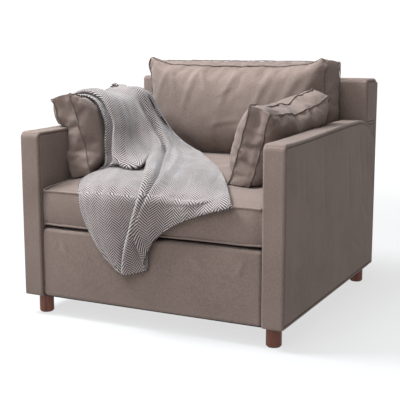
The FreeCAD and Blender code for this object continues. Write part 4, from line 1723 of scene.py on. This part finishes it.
@dataclass(frozen=True)
class FoldLine:
    """One line down the throw, from behind the pillow to the front hem, in millimetres.

    Args:
        name: What the line is.
        places: Its places over the pillow, down its face, across the seat and down the front.
    """

    name: str
    places: tuple[tuple[float, float, float], ...]


@dataclass
class Throw:
    """A woven throw over the left pillow, across the seat and down the front.

    Args:
        thick: Thickness of the cloth.
        between: Points between two fold lines.
        along: Points between two places of a fold line.
        turned: How much of the cloth is folded under on the right.
        clearance: Gap left between the cloth and what it lies on.
        search: How far from a point the piece under it is looked for.
        lying_places: How many places of a fold line lie on the pieces under them.
        passes: How often the clearing and its smoothing are repeated.
    """

    thick: float = 0.006
    between: int = 11
    along: int = 16
    turned: float = 0.045
    clearance: float = 0.0045
    search: float = 0.06
    lying_places: int = 11
    passes: int = 4

    def lines(self) -> list[FoldLine]:
        """The fold lines from the left hem to the right-hand fold."""
        return [
            FoldLine("left hem", (
                (-480, -215, 690), (-462, -222, 732), (-398, -226, 745), (-338, -228, 722),
                (-292, -244, 655), (-279, -266, 597), (-272, -276, 545), (-266, -292, 512),
                (-280, -318, 492), (-302, -352, 478), (-284, -420, 464), (-246, -482, 440),
                (-229, -496, 383), (-194, -497, 309), (-154, -496, 250), (-104, -494, 204))),
            FoldLine("inner strip", (
                (-480, -184, 692), (-462, -188, 736), (-398, -193, 749), (-332, -198, 725),
                (-281, -209, 657), (-266, -231, 599), (-258, -248, 547), (-250, -268, 516),
                (-268, -300, 495), (-262, -336, 487), (-240, -420, 470), (-206, -486, 446),
                (-196, -502, 383), (-168, -504, 309), (-138, -503, 250), (-92, -499, 200))),
            FoldLine("lip", (
                (-482, -190, 694), (-464, -192, 742), (-396, -200, 762), (-318, -212, 736),
                (-266, -226, 662), (-252, -250, 608), (-236, -278, 552), (-214, -288, 522),
                (-250, -240, 507), (-212, -320, 496), (-186, -420, 478), (-154, -488, 450),
                (-150, -502, 383), (-134, -504, 309), (-116, -504, 250), (-84, -502, 196))),
            FoldLine("left panel", (
                (-482, -140, 696), (-464, -142, 746), (-394, -148, 768), (-308, -160, 742),
                (-252, -172, 664), (-232, -200, 606), (-204, -250, 548), (-178, -303, 511),
                (-215, -230, 504), (-158, -330, 496), (-130, -414, 480), (-98, -488, 450),
                (-98, -498, 383), (-94, -500, 309), (-90, -501, 250), (-78, -500, 193))),
            FoldLine("left valley", (
                (-482, -84, 694), (-464, -86, 740), (-396, -90, 758), (-314, -104, 732),
                (-262, -112, 660), (-232, -134, 600), (-172, -205, 548), (-128, -290, 514),
                (-158, -215, 505), (-92, -300, 498), (-36, -408, 479), (2, -484, 446),
                (-14, -485, 383), (-34, -486, 309), (-52, -487, 250), (-66, -492, 193))),
            FoldLine("middle ridge", (
                (-480, -34, 690), (-462, -36, 732), (-398, -38, 750), (-312, -54, 730),
                (-256, -68, 660), (-216, -78, 604), (-178, -116, 566), (-156, -158, 548),
                (-138, -198, 538), (-92, -300, 524), (-40, -410, 506), (-6, -500, 460),
                (-23, -514, 388), (-42, -517, 314), (-57, -514, 252), (-70, -506, 194))),
            FoldLine("ridge flank", (
                (-480, -10, 690), (-462, -12, 732), (-400, -12, 750), (-314, -26, 732),
                (-252, -38, 668), (-210, -48, 614), (-160, -88, 578), (-134, -136, 560),
                (-114, -186, 548), (-68, -288, 533), (-16, -400, 514), (14, -512, 464),
                (-3, -530, 390), (-23, -531, 316), (-38, -524, 254), (-48, -512, 194))),
            FoldLine("deep valley", (
                (-478, 14, 694), (-460, 14, 740), (-398, 14, 760), (-310, 0, 744),
                (-262, -6, 662), (-222, -8, 602), (-164, -48, 548), (-124, -98, 524),
                (-88, -162, 510), (-36, -268, 497), (20, -394, 474), (46, -480, 444),
                (26, -481, 386), (8, -482, 320), (8, -483, 262), (12, -488, 210))),
            FoldLine("second ridge", (
                (-474, 36, 698), (-456, 36, 744), (-394, 36, 762), (-302, 22, 756),
                (-252, 18, 676), (-208, 14, 618), (-154, -34, 570), (-122, -88, 556),
                (-94, -154, 545), (-44, -264, 531), (12, -396, 508), (33, -508, 458),
                (7, -526, 394), (-12, -527, 342), (-1, -522, 288), (12, -510, 238))),
            FoldLine("right panel", (
                (-472, 50, 702), (-454, 50, 746), (-390, 52, 764), (-296, 42, 758),
                (-250, 46, 672), (-206, 50, 606), (-140, 12, 548), (-98, -30, 530),
                (-44, -104, 520), (14, -232, 508), (82, -380, 484), (110, -484, 450),
                (96, -498, 420), (76, -500, 386), (62, -500, 350), (52, -499, 318))),
            FoldLine("right slope", (
                (-470, 58, 700), (-452, 58, 744), (-388, 62, 762), (-292, 60, 754),
                (-246, 72, 672), (-200, 84, 600), (-110, 50, 542), (-64, 6, 528),
                (0, -78, 519), (76, -214, 508), (160, -366, 484), (192, -480, 450),
                (184, -495, 432), (174, -497, 416), (164, -497, 400), (154, -496, 386))),
            FoldLine("right fold", (
                (-470, 64, 696), (-452, 64, 742), (-388, 70, 760), (-298, 76, 748),
                (-252, 92, 670), (-208, 112, 590), (-130, 108, 540), (-64, 56, 527),
                (10, -36, 519), (124, -186, 506), (208, -320, 486), (262, -420, 468),
                (282, -456, 458), (294, -476, 448), (300, -484, 442), (304, -488, 436))),
        ]

    def surface(self) -> Array:
        """The throw's middle surface as a grid: rows down its length, columns across.

        Returns:
            The places of its points, by row and column.
        """
        knots = np.array([line.places for line in self.lines()]).transpose(1, 0, 2) * MM
        rows = through(knots, self.along)
        return through(rows.transpose(1, 0, 2), self.between).transpose(1, 0, 2)

    def folded_under(self, grid: Array) -> Array:
        """Add the part that turns under at the right-hand fold.

        Args:
            grid: The places of its points, by row and column.

        Returns:
            The grid with the turned part as further columns.
        """
        out = grid[:, -1] - grid[:, -3]
        out /= np.linalg.norm(out, axis=1, keepdims=True)
        ahead = np.gradient(grid[:, -1], axis=0)
        ahead /= np.linalg.norm(ahead, axis=1, keepdims=True)
        up = np.cross(out, ahead)
        up /= np.linalg.norm(up, axis=1, keepdims=True)
        up *= np.sign(up[len(up) // 2, 2])
        radius = self.thick * 0.9
        extra = []
        for turn in np.linspace(0, math.pi, 8)[1:]:
            extra.append(grid[:, -1] + radius * (math.sin(turn) * out
                                                 - (1 - math.cos(turn)) * up))
        for back in np.linspace(0, self.turned, 6)[1:]:
            extra.append(extra[6] - out * back)
        return np.concatenate([grid, np.stack(extra, 1)], axis=1)

    def clear_of(self, grid: Array, under: list[bpy.types.Object]) -> Array:
        """Lift the throw clear of the pieces that it lies on.

        Args:
            grid: The places of the throw's points, by row and column.
            under: The pieces that it lies on.

        Returns:
            The lifted places.
        """
        trees = [surface_tree(piece) for piece in under]
        gap = self.thick * 0.5 + self.clearance
        lying = self.lying_places * self.along
        for _ in range(self.passes):
            moved = grid.copy()
            for row, column in np.ndindex(lying, grid.shape[1]):
                for tree in trees:
                    spot, normal, _, _ = tree.find_nearest(Vector(moved[row, column]), self.search)
                    if spot is not None:
                        lift = gap - (Vector(moved[row, column]) - spot).dot(normal)
                        if lift > 0:
                            moved[row, column] += np.array(normal) * lift
            push = moved - grid
            for _ in range(self.passes):
                near = np.pad(push, ((1, 1), (1, 1), (0, 0)), mode="edge")
                push = (near[:-2, 1:-1] + near[2:, 1:-1] + near[1:-1, :-2] + near[1:-1, 2:]
                        + 2 * push) / 6
            grid = grid + push
        return grid

    def lay_flat(self, piece: bpy.types.Object, columns: int) -> None:
        """Give the throw its weave coordinates in metres, by laying it out flat.

        Args:
            piece: The throw, before it gets its thickness.
            columns: How many points a row has.
        """
        piece.data.uv_layers.new(name="weave")
        bpy.context.view_layer.objects.active = piece
        piece.select_set(True)
        bpy.ops.object.mode_set(mode="EDIT")
        bpy.ops.mesh.select_all(action="SELECT")
        bpy.ops.uv.unwrap(method="MINIMUM_STRETCH", margin=0, iterations=14)
        bpy.ops.object.mode_set(mode="OBJECT")
        piece.select_set(False)
        layer = piece.data.uv_layers["weave"].data
        spots = np.zeros(len(layer) * 2, np.float32)
        layer.foreach_get("uv", spots)
        spots = spots.reshape(-1, 4, 2).astype(float)
        cut = spots - np.roll(spots, 1, 1)
        areas = np.abs(cut[:, 0, 0] * cut[:, 1, 1] - cut[:, 0, 1] * cut[:, 1, 0])
        real = sum(polygon.area for polygon in piece.data.polygons)
        spots *= math.sqrt(real / areas.sum())
        middle = 5 * self.between
        first, last = (line * self.along * (columns - 1) + middle for line in (6, 12))
        down = spots[last, 0] - spots[first, 0]
        down /= np.linalg.norm(down)
        turned = np.stack([spots @ np.array([-down[1], down[0]]), spots @ down], -1)
        turned -= turned[first, 0] - 2
        layer.foreach_set("uv", np.ascontiguousarray(turned, np.float32).ravel())

    def shape(self, under: list[bpy.types.Object]) -> tuple[Skin, tuple[int, int]]:
        """The throw's skin over the pieces under it, and the size of its grid.

        Args:
            under: The pieces that it lies on.

        Returns:
            The skin, and how many rows and columns it has.
        """
        grid = self.surface()
        flat = grid.reshape(-1, 3)
        rows, columns = grid.shape[:2]
        row, column = np.meshgrid(np.arange(rows), np.arange(columns), indexing="ij")
        cloth = np.stack([column / columns * 6, row / rows * 14, 0 * row], -1).reshape(-1, 3)
        soft = soft_noise(cloth, (0.35, 2.2, 1), 61) * 0.0028
        soft += soft_noise(cloth, (0.16, 0.9, 1), 62) * 0.0012
        ahead = np.gradient(grid, axis=0)
        side = np.gradient(grid, axis=1)
        up = np.cross(side, ahead)
        up /= np.maximum(np.linalg.norm(up, axis=2, keepdims=True), 1e-9)
        grid = (flat - up.reshape(-1, 3) * soft[:, None]).reshape(grid.shape)
        grid = self.folded_under(self.clear_of(grid, under))
        rows, columns = grid.shape[:2]
        index = np.arange(rows * columns).reshape(rows, columns)
        quads = np.stack([index[:-1, :-1], index[1:, :-1], index[1:, 1:], index[:-1, 1:]],
                         -1).reshape(-1, 4)
        return Skin(grid.reshape(-1, 3), quads), (rows, columns)

    def make(self, finishes: Finishes, stitching: Stitching) -> None:
        """Build the throw and its stitched hem and put them on their body.

        Args:
            finishes: The chair's finishes.
            stitching: The maker of the stitches.
        """
        under = [bpy.data.objects[name] for name in ("pillow_left_soft", "seat_cushion_soft")]
        skin, (rows, columns) = self.shape(under)
        piece = skin.build("throw_cloth", finishes.weave)
        self.lay_flat(piece, columns)
        thick = piece.modifiers.new("thick", "SOLIDIFY")
        thick.thickness = self.thick
        thick.offset = 0
        settle(piece, "throw", Slot.THROW, "throw_blanket")
        grid = skin.points.reshape(rows, columns, 3)
        last = columns - 12
        hem = np.concatenate([grid[:, 0], grid[-1, 1:last]])
        inward = np.concatenate([grid[:, 2] - grid[:, 0], grid[-3, 1:last] - grid[-1, 1:last]])
        inward /= np.linalg.norm(inward, axis=1, keepdims=True)
        stitches = stitching.sew("throw_hem", hem + inward * 0.003, inward, finishes.hem_thread, {
            "Pitch": 0.0105, "Thread Radius": 0.0031, "Stitch Length": 0.0085,
            "Jitter": 0.3, "Seed": 3}, closed=False)
        for polygon in stitches.data.polygons:
            polygon.use_smooth = True
        settle(stitches, "throw", Slot.THROW)


# ---------------------------------------------------------------- studio

@dataclass
class Studio:
    """A floor that glows pale as painted light, soft light and the camera."""

    camera_place: tuple[float, float, float] = (1.4077, -2.9182, 0.922)
    camera_turn: tuple[float, float, float] = (math.pi / 2 - 0.171, 0.0, 0.46)
    lens: float = 80.36
    sky: float = 0.15

    def floor(self) -> None:
        """Lay a dark grey floor that looks pale because it glows: painted light, weaker near the chair
        and full far off.
        """
        mesh = bpy.data.meshes.new("floor")
        mesh.from_pydata([(-90, -90, 0), (90, -90, 0), (90, 90, 0), (-90, 90, 0)], [],
                         [(0, 1, 2, 3)])
        mix = Recipe("floor", 0.9, Specular_IOR_Level=0.1)
        away = mix.tree.nodes.new("ShaderNodeVectorMath")
        away.operation = "LENGTH"
        mix.tree.links.new(mix.place, away.inputs[0])
        # Painted light: the floor glows, from 0.68 within 1.2 m of the middle to 1.0 beyond 4.5 m.
        glow = mix.range(away.outputs["Value"], 1.2, 4.5, 0.68, 1.0)
        mix.tree.links.new(glow, mix.shader.inputs["Emission Strength"])
        mix.shader.inputs["Emission Color"].default_value = (1, 1, 1, 1)
        tone = mix.noise(mix.place, 3, 2)
        mesh.materials.append(mix.finish(mix.blend(tone, (0.15, 0.15, 0.15, 1),
                                                   (0.17, 0.17, 0.17, 1))))
        made = bpy.data.objects.new("floor", mesh)
        bpy.context.scene.collection.objects.link(made)

    def lamp(self, name: str, place: tuple[float, float, float], power: float, size: float,
             colour: tuple[float, float, float]) -> None:
        """Hang a square soft lamp that faces the chair.

        Args:
            name: Its name.
            place: Where it hangs.
            power: Its power in watts.
            size: Length of its side.
            colour: Its colour.
        """
        data = bpy.data.lights.new(name, "AREA")
        data.energy = power
        data.size = size
        data.color = colour
        made = bpy.data.objects.new(name, data)
        made.location = place
        aim = Vector((0, 0, 0.45)) - Vector(place)
        made.rotation_euler = aim.to_track_quat("-Z", "Y").to_euler()
        bpy.context.scene.collection.objects.link(made)

    def light(self) -> None:
        """Light the chair from the left and above, with a soft surrounding."""
        world = bpy.data.worlds.new("studio")
        world.use_nodes = True
        tree = world.node_tree
        way = tree.nodes.new("ShaderNodeTexCoord").outputs["Generated"]
        height = tree.nodes.new("ShaderNodeSeparateXYZ")
        tree.links.new(way, height.inputs[0])
        fade = tree.nodes.new("ShaderNodeMapRange")
        for name, value in (("From Min", 0.056), ("From Max", 0.08), ("To Min", 1.2),
                            ("To Max", self.sky)):
            fade.inputs[name].default_value = value
        tree.links.new(height.outputs[2], fade.inputs["Value"])
        backdrop = tree.nodes["Background"]
        backdrop.inputs["Color"].default_value = (1.0, 0.93, 0.88, 1)
        tree.links.new(fade.outputs[0], backdrop.inputs["Strength"])
        bpy.context.scene.world = world
        self.lamp("key", (-2.1, -1.1, 3.6), 330, 1.5, (0.88, 0.95, 1.0))
        self.lamp("top", (-0.3, -0.2, 3.8), 100, 1.6, (0.9, 0.96, 1.0))
        self.lamp("fill", (0.2, -3.0, 2.5), 70, 2.4, (0.9, 0.96, 1.0))

    def camera(self) -> None:
        """Set the camera."""
        data = bpy.data.cameras.new("camera")
        data.lens = self.lens
        data.sensor_width = 36
        data.clip_end = 60
        made = bpy.data.objects.new("camera", data)
        made.location = self.camera_place
        made.rotation_euler = self.camera_turn
        bpy.context.scene.collection.objects.link(made)
        bpy.context.scene.camera = made

    def make(self) -> None:
        """Make the floor, the lights and the camera."""
        self.floor()
        self.light()
        self.camera()
        bpy.context.scene.view_settings.view_transform = "Standard"


# ---------------------------------------------------------------- the whole chair


def main() -> None:
    """Build the chair piece by piece."""
    logging.basicConfig(level=logging.INFO, format="%(name)s: %(message)s")
    Studio().make()
    finishes = Finishes()
    finishes.dress_frame()
    stitching = Stitching()
    ArmUpholstery(-1, "left", creases=[
        Crease((-0.30, 0.60), (-0.26, 0.42), 0.0012, 0.010)]).make(finishes)
    ArmUpholstery(1, "right", creases=[
        Crease((0.330, 0.615), (0.372, 0.440), 0.0032, 0.009),
        Crease((0.250, 0.600), (0.330, 0.380), 0.0022, 0.010),
        Crease((0.400, 0.570), (0.440, 0.400), 0.0026, 0.008),
        Crease((0.120, 0.560), (0.180, 0.300), 0.0019, 0.010),
        Crease((-0.150, 0.590), (-0.110, 0.350), 0.0018, 0.010),
        Crease((-0.330, 0.610), (-0.300, 0.400), 0.0016, 0.010),
        Crease((0.300, 0.360), (0.420, 0.250), 0.0019, 0.010),
        Crease((0.200, 0.220), (0.340, 0.150), 0.0016, 0.010)]).make(finishes)
    for panel in fixed_upholstery():
        deck = panel.name.startswith("deck")
        panel.make(finishes, finishes.lining if deck else None)
    SeatCushion(creases=[
        Crease((0.300, -0.300), (0.390, -0.180), 0.0030, 0.014),
        Crease((-0.330, -0.330), (-0.390, -0.200), 0.0030, 0.014),
        Crease((0.180, 0.050), (0.060, -0.120), 0.0020, 0.022)]).make(finishes)
    BackCushion(creases=[
        Crease((-0.262, 0.850), (-0.318, 0.700), 0.0020, 0.010),
        Crease((-0.255, 0.850), (-0.225, 0.720), 0.0019, 0.009),
        Crease((-0.135, 0.850), (-0.190, 0.680), 0.0026, 0.011),
        Crease((-0.130, 0.850), (-0.090, 0.740), 0.0019, 0.009),
        Crease((0.028, 0.850), (-0.040, 0.670), 0.0025, 0.011),
        Crease((0.176, 0.850), (0.095, 0.660), 0.0028, 0.012),
        Crease((0.285, 0.835), (0.190, 0.640), 0.0028, 0.013),
        Crease((0.130, 0.690), (0.020, 0.585), 0.0022, 0.009),
        Crease((0.060, 0.650), (-0.080, 0.620), 0.0017, 0.008),
        Crease((0.200, 0.610), (0.100, 0.560), 0.0019, 0.009),
        Crease((0.020, 0.775), (-0.060, 0.725), 0.0016, 0.008)]).make(finishes, stitching)
    right = TossPillow("right", (0.193, -0.276, 0.458), 20, -9.0, 5.0, 1, plump=0.026,
                       length=0.426)
    left = TossPillow("left", (-0.306, -0.330, 0.474), -16, 1, 1, -1, sag=0.006)
    for pillow in (right, left):
        pillow.make(finishes, stitching)
    Throw().make(finishes, stitching)


if __name__ == "__main__":
    main()
